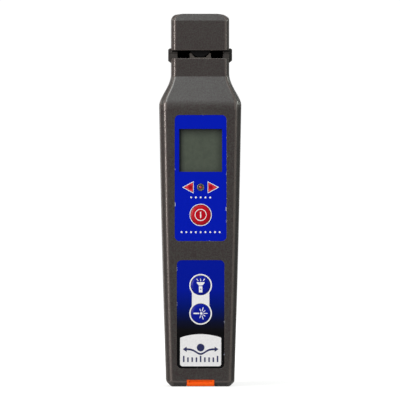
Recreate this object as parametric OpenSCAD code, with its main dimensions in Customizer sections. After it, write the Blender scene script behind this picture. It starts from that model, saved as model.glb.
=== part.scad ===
// Hand-held optical fibre identifier with a red-light fibre port and a torch.
// It stands on its foot: X runs across, Y runs from the keys (minus) to the back, Z runs up.
// The origin is on the foot, in the middle of the instrument's width and depth.

/* [Overall] */
// Height from the foot to the top of the head
total_h = 203.3; // [196:0.1:215]
// Depth from the faces of the keys to the ribs of the thumb slide
total_d = 31; // [30.5:0.1:33]

/* [Housing] */
// Width at the widest place, under the shoulder
body_w = 44.6; // [43:0.1:48]
// Width just above the chamfer of the foot
foot_w = 37; // [36:0.1:42]
// Width of the neck and of the head
neck_w = 31.6; // [31:0.1:33]
// Height at which the shoulder begins to narrow
shoulder_z = 153.4; // [151:0.1:155]
// Height of the shoulder's side curve
shoulder_h = 17.6; // [15:0.1:20]
// Height at which the sloped shoulder face meets the neck
slope_top_z = 169.1; // [166:0.1:171]
// Height of the upper rim of the neck
neck_top_z = 178.9; // [178:0.1:182]
// How far the neck's face stands behind the front face
neck_setback = 6; // [4:0.1:6.5]
// Thickness of the housing walls
wall = 2; // [1.8:0.05:2.2]
// Thickness of the floor of the housing
floor_t = 2.2; // [2:0.05:2.6]
// Chamfer round the foot
foot_chamfer = 2.6; // [1.5:0.1:3]
// Width of the side bevels under the shoulder
bevel_w = 3.5; // [2.6:0.1:4.5]
// Width of the side bevels at the foot
foot_bevel_w = 2.4; // [1.8:0.1:3.4]
// Width of the bevels along the neck and the head
neck_bevel_w = 1.8; // [1.5:0.1:2.4]
// Softness of the bevels' edges, measured along the faces
edge_soft = 0.8; // [0.2:0.05:1]
// Radius of the two long rear edges
rear_edge_r = 4.5; // [3:0.1:6]
// How far the foot's rear face leans forward of the neck's rear face
rear_lean = 0.4; // [0:0.05:0.6]
// Height over which the front face rounds into the slope
brow_soft = 5; // [2:0.1:6]
// Distance of the parting plane behind the middle of the depth
part_y = 1; // [0:0.1:1.5]

/* [Head] */
// Height of the head's lower edge
head_low_z = 183.3; // [183.1:0.1:186]
// Height of the sloped top edge of the head's face
head_brow_h = 3.8; // [2:0.1:5]
// How far that top edge slopes back
head_brow_d = 2.4; // [1:0.1:3]
// Height of the round at the head's upper corners
head_round_h = 3.6; // [2:0.1:5]
// Width of the round at the head's upper corners
head_round_w = 6.5; // [3:0.1:7]
// How far the head lifts off the neck
head_lift = 5; // [4:0.1:6]

/* [Fibre slot] */
// Half the width of the dark mouth of the slot
slot_half_w = 12.5; // [11.5:0.1:12.8]
// Depth of the slot behind the face of the neck
slot_d = 12.7; // [11:0.1:13.2]
// Height above the neck's rim at which the two jaws meet
jaw_seam_rise = 2.7; // [2:0.1:3.2]
// Gap between the closed jaws
jaw_gap = 0.2; // [0.1:0.05:0.4]
// How far the jaws' end walls stand behind the neck's face
jaw_inset = 1.8; // [1:0.1:2]
// How far the ears stand out of the head's sides
ear_out = 1.6; // [1:0.1:2.4]
// Half the depth of the ears
ear_half_d = 6; // [4:0.1:6.5]
// Height of the upper ears above the head's lower edge
ear_rise = 1.1; // [0.5:0.1:2]
// How far the lower ears reach under the neck's rim
ear_drop = 2.3; // [1.5:0.1:4]
// Chamfer under the lower ears
ear_chamfer = 1.2; // [0.5:0.1:1.4]
// Thickness of the jaws' plates
jaw_t = 2.4; // [2:0.1:3]
// Thickness of the black lining of the slot
liner_t = 0.5; // [0.4:0.05:0.7]
// Half the width of the grey saddle
saddle_half_w = 5.75; // [5:0.05:6]
// Height of the saddle's two prongs
saddle_h = 3; // [2.4:0.1:3.2]
// Width of the flat tip of a prong
prong_tip = 0.65; // [0.4:0.05:1]
// Half the width of the floor of the saddle's notch
notch_half_w = 2.9; // [2.4:0.1:3.2]
// Thickness of the saddle under its notch
notch_floor_t = 0.7; // [0.5:0.05:0.9]
// Radius of the black bending mandrel
mandrel_r = 6.3; // [5.5:0.1:6.6]
// Gap between the mandrel and the floor of the notch, where the fibre lies
fibre_gap = 0.3; // [0.25:0.05:0.6]
// Radius of a photodiode
diode_r = 0.9; // [0.6:0.05:0.95]

/* [Panels] */
// Half the width of the upper panel
upper_half_w = 14.05; // [13.6:0.05:14.4]
// Half the width of the lower panel
lower_half_w = 12.9; // [12.4:0.05:13.4]
// Height of the upper panel's lower edge
upper_low_z = 79.3; // [78:0.1:82]
// Height of the upper panel's upper edge
upper_high_z = 147.8; // [146:0.1:149]
// Height of the lower panel's lower edge
lower_low_z = 10; // [9:0.1:12]
// Height of the lower panel's upper edge
lower_high_z = 68.8; // [66:0.1:72]
// Radius of the panels' corners
panel_r = 2.5; // [1.5:0.1:4]
// Thickness of the printed panels
panel_t = 0.4; // [0.2:0.05:0.45]
// Depth of the recesses that hold the panels
panel_recess = 0.5; // [0.46:0.01:0.6]

/* [Display] */
// Height of the middle of the display window
window_z = 128.6; // [127:0.1:131]
// Half the width and half the height of the display window
window_half = 11.7; // [10.5:0.05:11.9]
// Margin of the display glass behind the window
glass_margin = 1.2; // [0.8:0.1:1.4]
// Thickness of the display glass
glass_t = 2.4; // [2:0.1:2.6]
// Thickness of the housing in front of the display glass
glass_lip = 0.8; // [0.6:0.05:0.9]
// Height of the row of signal lights
lights_z = 108.5; // [107:0.1:110]
// Distance of the arrows' flat backs from the middle
arrow_back_x = 4.2; // [3.6:0.1:5]
// Length of an arrow light
arrow_len = 5; // [4:0.1:5.4]
// Half the height of an arrow light
arrow_half_h = 2.7; // [2:0.1:3]
// Radius of the status lamp
lamp_r = 1.1; // [0.8:0.05:1.2]
// Outer radius of the ring round the status lamp
lamp_ring_r = 2; // [1.7:0.05:2.4]

/* [Keys] */
// Height of the power key
power_z = 93.5; // [92:0.1:95]
// Height of the torch key
torch_z = 55.2; // [54.8:0.1:57]
// Height of the laser key
laser_z = 39.9; // [38:0.1:40.4]
// Radius of the power key
power_r = 5.5; // [5:0.05:6]
// Radius of the torch and laser keys
small_key_r = 5.3; // [4.8:0.05:5.6]
// How far the keys stand out of the front face
key_proud = 0.3; // [0.2:0.05:0.5]
// Travel of a key
key_travel = 0.5; // [0.3:0.05:0.6]
// Gap round a key
key_gap = 0.15; // [0.1:0.01:0.25]
// Width of the flange that holds a key in
key_flange_w = 0.9; // [0.6:0.05:1.1]
// Thickness of that flange
key_flange_t = 0.8; // [0.5:0.05:1]

/* [Circuit board] */
// Distance of the board's face behind the inside of the front wall
board_back = 4.2; // [4:0.05:4.8]
// Thickness of the board
board_t = 1.6; // [1:0.1:2]
// Height of the board's lower edge
board_low_z = 33.2; // [33:0.1:34]
// Height of the board's upper edge
board_high_z = 147; // [146.6:0.1:148]
// Half the width of the board
board_half_w = 11.4; // [11.2:0.1:11.6]

/* [Battery] */
// Diameter of a cell
cell_d = 10.5; // [10:0.05:10.6]
// Length of a cell without its button
cell_len = 43.5; // [43:0.1:44]
// Length of the button of a cell
cell_button = 1; // [0.8:0.1:1.2]
// Gap between the two cells
cell_gap = 0.7; // [0.4:0.05:1]
// Height of the inside of the cell tray's lower end
tray_low_z = 15.4; // [15:0.1:16]
// Wall thickness of the cell tray
tray_wall = 1.2; // [1:0.05:1.4]
// Free height left for the contact springs
contact_room = 4.6; // [4.2:0.1:5]
// Half the width of the battery door
door_half_w = 12.9; // [12.6:0.1:13.2]
// Height of the battery door's lower edge
door_low_z = 12.6; // [12.2:0.1:13]
// Height of the battery door's upper edge
door_high_z = 71; // [69.5:0.1:73]
// Thickness of the battery door
door_t = 1.6; // [1.3:0.05:1.7]
// Gap round the battery door
door_gap = 0.15; // [0.1:0.01:0.25]

/* [Fibre port] */
// Distance of the port's axis in front of the middle of the depth
port_forward = 6; // [5.6:0.1:6.4]
// Radius of the bore that takes a 2.5 mm ferrule
ferrule_bore_r = 1.26; // [1.255:0.001:1.3]
// Length of that bore
ferrule_bore_len = 10; // [8:0.1:12]
// Wall thickness of the ceramic sleeve
sleeve_wall = 0.4; // [0.3:0.05:0.5]
// Outer radius of the port's metal barrel
barrel_r = 3.6; // [3.2:0.1:3.8]
// Outer radius of the laser module
module_r = 4.6; // [4.2:0.1:4.8]
// Length of the laser module
module_len = 17; // [14:0.1:18]
// Distance of the torch lamp from the middle
torch_x = 12; // [11.8:0.1:12.4]
// Radius of the torch lamp
torch_r = 2.5; // [2:0.05:2.6]

/* [Dust flap] */
// Half the width of the orange dust flap
flap_half_w = 7.45; // [7:0.05:7.8]
// Thickness of the flap's strap
flap_t = 1.8; // [1.5:0.05:1.9]
// Height of the flap's front lip
flap_lip_h = 3.55; // [3:0.05:3.6]
// Thickness of the flap's front lip
flap_lip_t = 1.5; // [1.2:0.05:1.6]
// Gap under and round the flap
flap_gap = 0.15; // [0.1:0.01:0.2]
// Height of the flap's hinge axis
hinge_z = 1.9; // [1.88:0.01:2]
// Distance of the hinge axis in front of the rear face
hinge_in = 3.4; // [3.2:0.05:3.8]
// Radius of the hinge pin
hinge_pin_r = 0.75; // [0.5:0.05:0.8]
// Radius of the flap's hinge barrel
knuckle_r = 1.65; // [1.5:0.05:1.7]
// Depth of the nail recess in the lip
nail_d = 0.5; // [0.3:0.05:0.7]

/* [Thumb slide] */
// Height of the slide's lower edge
slide_low_z = 145.5; // [144:0.1:148]
// How far the ribs of the slide stand out of the rear face
slide_proud = 1.5; // [1:0.1:1.8]
// Half the width of the slide
slide_half_w = 7.5; // [6:0.1:9]
// Length of the slide
slide_len = 22; // [20:0.1:24]
// Number of ribs on the slide
slide_ribs = 7; // [4:1:9]
// Thickness of the carriage behind the slot
carriage_t = 3; // [2.4:0.1:3.2]
// Half the width of the carriage
carriage_half_w = 8; // [7:0.1:9]
// Mean radius of the return spring
spring_r = 2; // [1.8:0.05:2.2]
// Radius of the return spring's wire
spring_wire_r = 0.3; // [0.2:0.01:0.35]
// Number of turns of the return spring
spring_turns = 8; // [5:1:10]
// Length of the fitted return spring
spring_len = 22; // [20:0.1:26]

/* [Fasteners] */
// Radius of the shank of a housing screw
screw_r = 1.1; // [0.9:0.05:1.2]
// Radius of the head of a housing screw
screw_head_r = 2.1; // [1.8:0.05:2.3]
// Thickness of the head of a housing screw
screw_head_t = 1.4; // [1:0.1:1.6]
// Radius of the shank of a small screw
small_screw_r = 0.8; // [0.6:0.05:0.9]
// Radius of the head of a small screw
small_head_r = 1.5; // [1.2:0.05:1.6]
// Thickness of the head of a small screw
small_head_t = 0.9; // [0.6:0.05:1.1]
// Radius of the bosses that take the housing screws
boss_r = 2.7; // [2.5:0.05:2.8]
// Clearance of a fit between pieces that move or are put together
fit = 0.05; // [0.02:0.01:0.1]
// Gap between pieces that only lie near each other
near = 0.1; // [0.05:0.01:0.15]

/* [Hidden] */
$fn = 48;

// One overrun serves every cut
over = 1;
// Colours as the photograph shows them
shell_grey = "#46413F";
jaw_grey = "#3C3837";
black_plastic = "#0C0C0E";
panel_blue = "#0016A8";
signal_red = "#C4001E";
flap_orange = "#F2500E";
board_green = "#1E5A32";

// Planes of the housing
front_y = key_proud - total_d / 2;
rear_y = total_d / 2 - slide_proud;
neck_front_y = front_y + neck_setback;
inner_front_y = front_y + wall;
panel_back_y = front_y + panel_recess;
neck_inner_half = neck_w / 2 - wall;
// An inset bevel of 45 degrees narrows by this share of the inset
bevel_inset_share = 2 - sqrt(2);
// Exponent that skews the shoulder's side curve towards its upper end
shoulder_skew_share = 0.87;
// Number of stations along the shoulder
shoulder_steps = 14;
// Points at a soft edge, and along a rear corner
soft_steps = 2;
corner_steps = 4;

// Planes of the slot
seam_z = neck_top_z + jaw_seam_rise;
slot_back_y = neck_front_y + slot_d;
slot_floor_z = neck_top_z - near;
ceiling_z = head_low_z + near;
// The neck's rear half rises as a collar to just under the head
collar_z = head_low_z - near;
jaw_front_y = neck_front_y + jaw_inset;
jaw_side = neck_w / 2;
// Room between the lower jaw's rear block and the carriage
carriage_front_y = rear_y - wall - 2 * near - carriage_t;
jaw_back_y = carriage_front_y - 4 * near;
jaw_low_z = slot_floor_z - liner_t - jaw_t;
upper_plate_low_z = ceiling_z + liner_t;
upper_plate_high_z = upper_plate_low_z + jaw_t;

// Planes of the electronics
board_y = inner_front_y + board_back;
glass_y = panel_back_y + glass_lip;
dome_t = 0.6;
dome_r = 3.6;
port_y = -port_forward;
hinge_y = rear_y - hinge_in;
groove_half_w = flap_half_w + flap_gap;
// Roof over the dust flap's groove
roof_low_z = flap_gap + flap_t + flap_gap;
roof_t = 1.8;
roof_half_w = groove_half_w + wall / 2;

// Small helpers
module box_from(low, high) translate(low) cube(high - low);
module both_sides() { children(); mirror([1, 0, 0]) children(); }
module rod_x(r, x0, x1) rotate([0, 90, 0]) translate([0, 0, x0]) cylinder(r = r, h = x1 - x0);
module rod_y(r, y0, y1) rotate([-90, 0, 0]) translate([0, 0, y0]) cylinder(r = r, h = y1 - y0);
module rod_z(r, z0, z1) translate([0, 0, z0]) cylinder(r = r, h = z1 - z0);
// Extrudes an outline drawn in X and Z between two depths
module along_y(y0, y1) rotate([90, 0, 0]) translate([0, 0, -y1]) linear_extrude(y1 - y0) children();
// Extrudes an outline drawn in Y and Z between two places across the width
module along_x(x0, x1) rotate([90, 0, 90]) translate([0, 0, x0]) linear_extrude(x1 - x0) children();
// Rectangle with round corners, centred across, between two heights
module round_rect(half_w, z0, z1, r) {
    translate([-half_w, z0 + r]) square([2 * half_w, z1 - z0 - 2 * r]);
    translate([r - half_w, z0]) square([2 * (half_w - r), z1 - z0]);
    for (x = [r - half_w, half_w - r], z = [z0 + r, z1 - r]) translate([x, z]) circle(r = r);
}

// Housing form: stations along Z, each a bevelled outline
function lerp(a, b, t) = a + (b - a) * t;
function clamp(t) = max(0, min(1, t));
function shoulder_t(z) = clamp((z - shoulder_z) / shoulder_h);
function shoulder_fall(z) = (1 + cos(180 * pow(shoulder_t(z), shoulder_skew_share))) / 2;
function flank_t(z) = clamp((z - foot_chamfer) / (shoulder_z - foot_chamfer));
function half_w_at(z) =
    z <= shoulder_z ? lerp(foot_w, body_w, flank_t(z)) / 2
                    : lerp(neck_w, body_w, shoulder_fall(z)) / 2;
function bevel_at(z) =
    z <= shoulder_z ? lerp(foot_bevel_w, bevel_w, flank_t(z))
                    : lerp(neck_bevel_w, bevel_w, shoulder_fall(z));
function slope_run(z) =
    let (d = z - shoulder_z)
    d < -brow_soft / 2 ? 0 : d < brow_soft / 2 ? pow(d + brow_soft / 2, 2) / (2 * brow_soft) : d;
function front_at(z) = front_y + neck_setback * clamp(slope_run(z) / (slope_top_z - shoulder_z));
function rear_at(z) = rear_y - rear_lean * (1 - z / neck_top_z);
function unit(v) = v / norm(v);
// Soft edge at a corner: a short curve from one face to the next
function soft_edge(before, at, after, soft) =
    let (a = at + soft * unit(before - at), b = at + soft * unit(after - at))
    [for (i = [0:soft_steps]) let (t = i / soft_steps)
        pow(1 - t, 2) * a + 2 * t * (1 - t) * at + pow(t, 2) * b];
function corner_arc(centre, r, from) =
    [for (i = [0:corner_steps]) let (a = from + 90 * i / corner_steps)
        centre + r * [cos(a), sin(a)]];
// Outline seen from above, counter-clockwise from the left end of the front face
function outline(half_w, front, rear, bevel, r) =
    let (bl = [bevel - half_w, front], br = [half_w - bevel, front],
         ar = [half_w, front + bevel], al = [-half_w, front + bevel],
         soft = min(edge_soft, bevel / 2))
    concat(soft_edge(al, bl, br, soft), soft_edge(bl, br, ar, soft),
           soft_edge(br, ar, [half_w, rear], soft),
           corner_arc([half_w - r, rear - r], r, 0), corner_arc([r - half_w, rear - r], r, 90),
           soft_edge([-half_w, rear], al, bl, soft));
function station(z, at, inset) =
    let (flat = outline(half_w_at(at) - inset, front_at(at) + inset, rear_at(at) - inset,
                        bevel_at(at) - bevel_inset_share * inset, rear_edge_r - inset))
    [for (p = flat) [p[0], p[1], z]];
// Skin through a list of outlines that have the same number of points
module skin(rings) {
    n = len(rings[0]);
    m = len(rings);
    points = [for (ring = rings) each ring];
    sides = [for (k = [0:m - 2], i = [0:n - 1]) let (j = (i + 1) % n)
        each [[k * n + i, k * n + n + i, k * n + n + j], [k * n + i, k * n + n + j, k * n + j]]];
    polyhedron(points, concat(sides, [[for (i = [0:n - 1]) i]],
                              [[for (i = [0:n - 1]) m * n - 1 - i]]));
}
shoulder_list = [for (i = [0:shoulder_steps]) shoulder_z + shoulder_h * i / shoulder_steps];
near_slope_top = shoulder_h / shoulder_steps / 3;
station_list = concat(
    [shoulder_z - brow_soft / 2, shoulder_z - brow_soft / 4],
    [for (z = shoulder_list) if (z < slope_top_z - near_slope_top) z], [slope_top_z],
    [for (z = shoulder_list) if (z > slope_top_z + near_slope_top) z]);
module housing_form() {
    skin(concat([station(0, foot_chamfer, foot_chamfer), station(foot_chamfer, foot_chamfer, 0)],
                [for (z = station_list) station(z, z, 0)],
                [station(collar_z, collar_z, 0)]));
}
module housing_room() {
    skin(concat([station(floor_t, foot_chamfer, wall)],
                [for (z = station_list) station(z, z, wall)],
                [station(collar_z + over, collar_z, wall)]));
}
module half_space(y0, y1) {
    box_from([-body_w, y0, -over], [body_w, y1, total_h]);
}

// Places that several pieces share
upper_screw_x = 15.6;
upper_screw_z = 146.5;
lower_screw_x = 14.7;
lower_screw_z = 84;
screw_places = [[upper_screw_x, upper_screw_z], [lower_screw_x, lower_screw_z]];
post_x = 9.2;
post_drop = 2.4;
low_post_z = 67.5;
board_hole_places = [[post_x, board_high_z - post_drop], [post_x, low_post_z]];
standoff_r = 1.9;
window_low_z = window_z - window_half;
window_high_z = window_z + window_half;
glass_half = window_half + glass_margin;
frame_wall = 0.8;
tray_high_z = tray_low_z + cell_len + cell_button + contact_room;
cell_x = (cell_d + cell_gap) / 2;
cell_y = rear_at(door_low_z) - door_t - cell_d / 2 - 4 * near;
tray_back_y = cell_y - cell_d / 2 - near;
tray_half_w = cell_x + cell_d / 2 + near;
barrel_low_z = roof_low_z;
barrel_high_z = barrel_low_z + ferrule_bore_len + wall;
module_high_z = barrel_high_z + module_len;
torch_y = -3;
torch_len = 6.5;
torch_recess = 0.6;
slide_slot_half_w = 4.1;
stem_rise = 1.4;
stem_h = 7;
stem_low_z = slide_low_z + head_lift + stem_rise;
stem_high_z = stem_low_z + stem_h;
spring_y = 5.2;
spring_top_z = jaw_low_z;
spring_low_z = spring_top_z - spring_len;
spigot_r = spring_r - spring_wire_r - near;
spigot_len = 3;
foot_t = 2.4;

module arrow_outline(grow) {
    polygon([[arrow_back_x - grow, lights_z - arrow_half_h - grow],
             [arrow_back_x + arrow_len + grow, lights_z],
             [arrow_back_x - grow, lights_z + arrow_half_h + grow]]);
}
module screw_bosses(y0, y1) {
    for (p = screw_places) both_sides() translate([p[0], 0, p[1]]) rod_y(boss_r, y0, y1);
}
module flap_groove() {
    box_from([-groove_half_w, front_y - over, -over], [groove_half_w, rear_y + over, roof_low_z]);
    box_from([-groove_half_w, front_y - over, -over],
             [groove_half_w, front_y + flap_lip_t + flap_gap, flap_gap + flap_lip_h + flap_gap]);
    box_from([-groove_half_w, hinge_y - knuckle_r - 2 * flap_gap, -over],
             [groove_half_w, rear_y + over, 2 * hinge_z + flap_gap]);
}
module groove_roof(y0, y1) {
    box_from([-roof_half_w, y0, floor_t - near], [roof_half_w, y1, roof_low_z + roof_t]);
}

module front_shell() color(shell_grey) difference() {
    union() {
        difference() {
            intersection() { housing_form(); half_space(front_y - over, part_y); }
            housing_room();
        }
        screw_bosses(inner_front_y - near, part_y);
        groove_roof(front_y + wall / 2, part_y);
        // Posts that hold the circuit board
        for (p = board_hole_places) both_sides()
            translate([p[0], 0, p[1]]) rod_y(standoff_r, inner_front_y - near, board_y);
    }
    for (p = screw_places) both_sides()
        translate([p[0], 0, p[1]]) rod_y(screw_r - fit, inner_front_y + wall, part_y + over);
    for (p = board_hole_places) both_sides()
        translate([p[0], 0, p[1]]) rod_y(small_screw_r - fit, inner_front_y + near, board_y + over);
    along_y(front_y - over, panel_back_y) round_rect(upper_half_w + near, upper_low_z - near,
                                                     upper_high_z + near, panel_r + near);
    along_y(front_y - over, panel_back_y) round_rect(lower_half_w + near, lower_low_z - near,
                                                     lower_high_z + near, panel_r + near);
    // Display window and the pocket for its glass
    box_from([-window_half, front_y - over, window_low_z],
             [window_half, inner_front_y + over, window_high_z]);
    box_from([-glass_half - near, glass_y, window_low_z - glass_margin - near],
             [glass_half + near, inner_front_y + over, window_high_z + glass_margin + near]);
    along_y(front_y - over, inner_front_y + over) both_sides() arrow_outline(near);
    translate([0, 0, lights_z]) rod_y(lamp_ring_r + near, front_y - over, inner_front_y + over);
    translate([0, 0, power_z]) rod_y(power_r + key_gap, front_y - over, inner_front_y + over);
    for (z = [torch_z, laser_z]) translate([0, 0, z])
        rod_y(small_key_r + key_gap, front_y - over, inner_front_y + over);
    box_from([-body_w, front_y - over, neck_top_z], [body_w, part_y + over, total_h]);
    flap_groove();
    translate([0, port_y, 0]) rod_z(barrel_r + near, -over, roof_low_z + roof_t + over);
    translate([torch_x, torch_y, 0]) rod_z(torch_r + near, -over, floor_t + over);
}

module door_opening(gap) {
    box_from([-door_half_w - gap, rear_y - wall - over, door_low_z - gap],
             [door_half_w + gap, rear_y + over, door_high_z + gap]);
}
guide_t = 1.5;
guide_len = 25.9;
module rear_shell() color(shell_grey) difference() {
    union() {
        difference() {
            intersection() { housing_form(); half_space(part_y, rear_y + over); }
            housing_room();
        }
        screw_bosses(part_y, rear_y - wall + near);
        groove_roof(part_y, rear_at(0) - wall / 2);
        // Lugs that hold the flap's hinge pin
        both_sides() along_x(groove_half_w, groove_half_w + pin_grip) polygon([
            [hinge_y - knuckle_r, 0], [rear_at(0) - foot_chamfer, 0],
            [hinge_y + knuckle_r, hinge_y + knuckle_r - rear_at(0) + foot_chamfer],
            [hinge_y + knuckle_r, 2 * hinge_z + wall], [hinge_y - knuckle_r, 2 * hinge_z + wall]]);
        // Roof over the hinge, inside the rear wall
        box_from([-roof_half_w, hinge_y - knuckle_r - wall, 2 * hinge_z],
                 [roof_half_w, rear_at(0) - wall / 2, 2 * hinge_z + wall]);
        // Guides on each side of the carriage
        both_sides() box_from([carriage_half_w + near, carriage_front_y, jaw_low_z - guide_len],
                              [carriage_half_w + near + guide_t, rear_y - wall + near, jaw_low_z]);
    }
    door_opening(0);
    box_from([-body_w, part_y - over, neck_top_z], [body_w, slot_back_y + near, total_h]);
    for (p = screw_places) both_sides() translate([p[0], 0, p[1]]) {
        rod_y(screw_r + fit, part_y - over, rear_y + over);
        rod_y(screw_head_r + near, rear_y - wall - screw_head_t, rear_y + over);
    }
    box_from([-slide_slot_half_w, rear_y - wall - over, stem_low_z - near],
             [slide_slot_half_w, rear_y + over, stem_high_z + head_lift + near]);
    flap_groove();
    translate([0, hinge_y, hinge_z]) rod_x(hinge_pin_r + fit / 2, -hinge_pin_half, hinge_pin_half);
    translate([0, port_y, 0]) rod_z(barrel_r + near, -over, roof_low_z + roof_t + over);
}

// Battery door: a piece of the rear face, with two hooks and a ribbed thumb patch
hook_w = 3;
hook_len = 1.4;
hook_t = 1.1;
hook_x = 7;
door_ribs = 6;
rib_pitch = 2;
rib_w = 0.9;
rib_d = 0.5;
patch_half_w = 6;
module battery_door() color(shell_grey) {
    difference() {
        intersection() {
            housing_form();
            box_from([door_gap - door_half_w, rear_at(door_low_z) - door_t, door_low_z + door_gap],
                     [door_half_w - door_gap, rear_y + over, door_high_z - door_gap]);
        }
        for (i = [0:door_ribs - 1]) let (z = door_high_z - rib_pitch * (i + 2))
            box_from([-patch_half_w, rear_at(z) - rib_d, z - rib_w / 2],
                     [patch_half_w, rear_y + over, z + rib_w / 2]);
    }
    // Hooks that lie behind the wall under the opening
    both_sides() translate([hook_x, 0, 0]) {
        box_from([-hook_w / 2, rear_at(0) - wall - near - hook_t, door_low_z - hook_len],
                 [hook_w / 2, rear_at(0) - wall - near, door_low_z + hook_len]);
        box_from([-hook_w / 2, rear_at(0) - wall - hook_t, door_low_z + door_gap],
                 [hook_w / 2, rear_at(door_low_z) - door_t + near, door_low_z + hook_len]);
    }
}

module upper_panel() color(panel_blue) difference() {
    along_y(panel_back_y - panel_t, panel_back_y)
        round_rect(upper_half_w, upper_low_z, upper_high_z, panel_r);
    box_from([-window_half, front_y - over, window_low_z],
             [window_half, panel_back_y + over, window_high_z]);
    along_y(front_y - over, panel_back_y + over) both_sides() arrow_outline(near);
    translate([0, 0, lights_z]) rod_y(lamp_ring_r + near, front_y - over, panel_back_y + over);
    translate([0, 0, power_z]) rod_y(power_r + key_gap, front_y - over, panel_back_y + over);
}

module lower_panel() color(panel_blue) difference() {
    along_y(panel_back_y - panel_t, panel_back_y)
        round_rect(lower_half_w, lower_low_z, lower_high_z, panel_r);
    for (z = [torch_z, laser_z]) translate([0, 0, z])
        rod_y(small_key_r + key_gap, front_y - over, panel_back_y + over);
}

module display_glass() color("#4C5348")
    box_from([-glass_half, glass_y, window_low_z - glass_margin],
             [glass_half, glass_y + glass_t, window_high_z + glass_margin]);

// Black frame between the display glass and the board
module display_frame() color(black_plastic) difference() {
    box_from([-glass_half - frame_wall, inner_front_y, window_low_z - glass_margin - frame_wall],
             [glass_half + frame_wall, board_y, window_high_z + glass_margin + frame_wall]);
    box_from([-glass_half, inner_front_y - over, window_low_z - glass_margin],
             [glass_half, glass_y + glass_t, window_high_z + glass_margin]);
    // Corners that clear the two upper board posts
    for (p = board_hole_places) both_sides() translate([p[0], 0, p[1]])
        rod_y(standoff_r + near, inner_front_y - over, board_y + over);
}

light_back_y = board_y - dome_t;
module arrow_lights() color(signal_red)
    along_y(panel_back_y - panel_t, light_back_y) both_sides() arrow_outline(0);

module status_lamp() color(signal_red) translate([0, 0, lights_z])
    rod_y(lamp_r, panel_back_y - panel_t, board_y);

module status_lamp_ring() color("#6E6E6C") translate([0, 0, lights_z]) difference() {
    rod_y(lamp_ring_r, panel_back_y - panel_t, inner_front_y + wall);
    rod_y(lamp_r + fit, front_y - over, inner_front_y + wall + over);
}

// Keys: a cap through the panel, a flange behind the wall and a stem over its snap dome
key_stem_r = 1.6;
module key(z, r) translate([0, 0, z]) {
    rod_y(r, -total_d / 2, inner_front_y + near);
    rod_y(r + key_flange_w, inner_front_y + near, inner_front_y + near + key_flange_t);
    rod_y(key_stem_r, inner_front_y, board_y - dome_t - key_travel - near);
}
module power_key() color(signal_red) key(power_z, power_r);
module torch_key() color(panel_blue) key(torch_z, small_key_r);
module laser_key() color(panel_blue) key(laser_z, small_key_r);

module snap_domes() color("#C8C8C4") for (z = [power_z, torch_z, laser_z])
    translate([0, board_y, z]) rotate([90, 0, 0])
        cylinder(r1 = dome_r, r2 = dome_r - dome_t, h = dome_t);

module main_board() color(board_green) difference() {
    box_from([-board_half_w, board_y, board_low_z], [board_half_w, board_y + board_t, board_high_z]);
    for (p = board_hole_places) both_sides() translate([p[0], 0, p[1]])
        rod_y(small_screw_r + fit, board_y - over, board_y + board_t + over);
}

chip_half = 4;
chip_t = 1.4;
chip_z = 118;
crystal_len = 9;
crystal_r = 1.6;
module board_parts() color("#1A1A1C") {
    y = board_y + board_t;
    box_from([-chip_half, y, chip_z - chip_half], [chip_half, y + chip_t, chip_z + chip_half]);
    box_from([-chip_half, y, power_z - chip_half], [0, y + chip_t, power_z + chip_half]);
    translate([chip_half, y + crystal_r, power_z - crystal_len]) rod_z(crystal_r, 0, crystal_len);
    box_from([-chip_half, y, laser_z], [chip_half, y + chip_t, laser_z + chip_half]);
}

board_screw_len = 4;
module small_screw(len) {
    rod_y(small_head_r, 0, small_head_t);
    rod_y(small_screw_r - fit, -len, fit);
}
module board_screws() color("silver") for (p = board_hole_places) both_sides()
    translate([p[0], board_y + board_t, p[1]]) small_screw(board_screw_len);

// Open tray for the two cells, with a rib between them
tray_side_d = 4;
module cell_tray() color(black_plastic) {
    box_from([-tray_half_w - tray_wall, tray_back_y - tray_wall, tray_low_z - tray_wall],
             [tray_half_w + tray_wall, tray_back_y, tray_high_z + tray_wall]);
    for (z = [tray_low_z - tray_wall, tray_high_z])
        box_from([-tray_half_w - tray_wall, tray_back_y - near, z],
                 [tray_half_w + tray_wall, cell_y + plate_half_w, z + tray_wall]);
    both_sides() box_from([tray_half_w, tray_back_y - near, tray_low_z - near],
                          [tray_half_w + tray_wall, tray_back_y + tray_side_d, tray_high_z + near]);
}

module cell(up) {
    rod_z(cell_d / 2, up ? 0 : cell_button, up ? cell_len : cell_len + cell_button);
    rod_z(cell_d / 5, up ? cell_len - over : 0, up ? cell_len + cell_button : cell_button + over);
}
plate_t = 0.4;
plate_half_w = 3.4;
module cell_left() color("#2C6E3C")
    translate([-cell_x, cell_y, tray_low_z + contact_room - plate_t]) cell(true);
module cell_right() color("#2C6E3C")
    translate([cell_x, cell_y, tray_low_z + plate_t]) cell(false);

// Coil of round wire, whose ends stand square on their seats
coil_rings = 8;
wire_sides = 6;
function coil_point(r, rise, turns, i) =
    let (a = 360 * i / coil_rings) [r * cos(a), r * sin(a), rise * i / (turns * coil_rings)];
function coil_path(r, wire, len, turns) =
    let (end = 2 * wire, n = turns * coil_rings, rise = len - 2 * end)
    concat([[r, 0, 0]],
           [for (i = [0:n]) coil_point(r, rise, turns, i) + [0, 0, end]],
           [[r, 0, len]]);
function coil_gap(path, wire) =
    min([for (i = [1:len(path) - 2 - coil_rings]) norm(path[i + coil_rings] - path[i])]) - 2 * wire;
module coil(r, wire, len, turns) {
    path = coil_path(r, wire, len, turns);
    n = len(path);
    rings = [for (i = [0:n - 1])
        let (p = path[i], out = unit([p[0], p[1], 0]),
             run = i == 0 || i == n - 1 ? [0, 0, 1] : unit(path[i + 1] - path[i - 1]),
             side = cross(run, out))
        [for (k = [0:wire_sides - 1]) let (a = -360 * k / wire_sides)
            p + wire * (cos(a) * out + sin(a) * side)]];
    echo(least_gap = coil_gap(path, wire));
    skin(rings);
}

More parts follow.
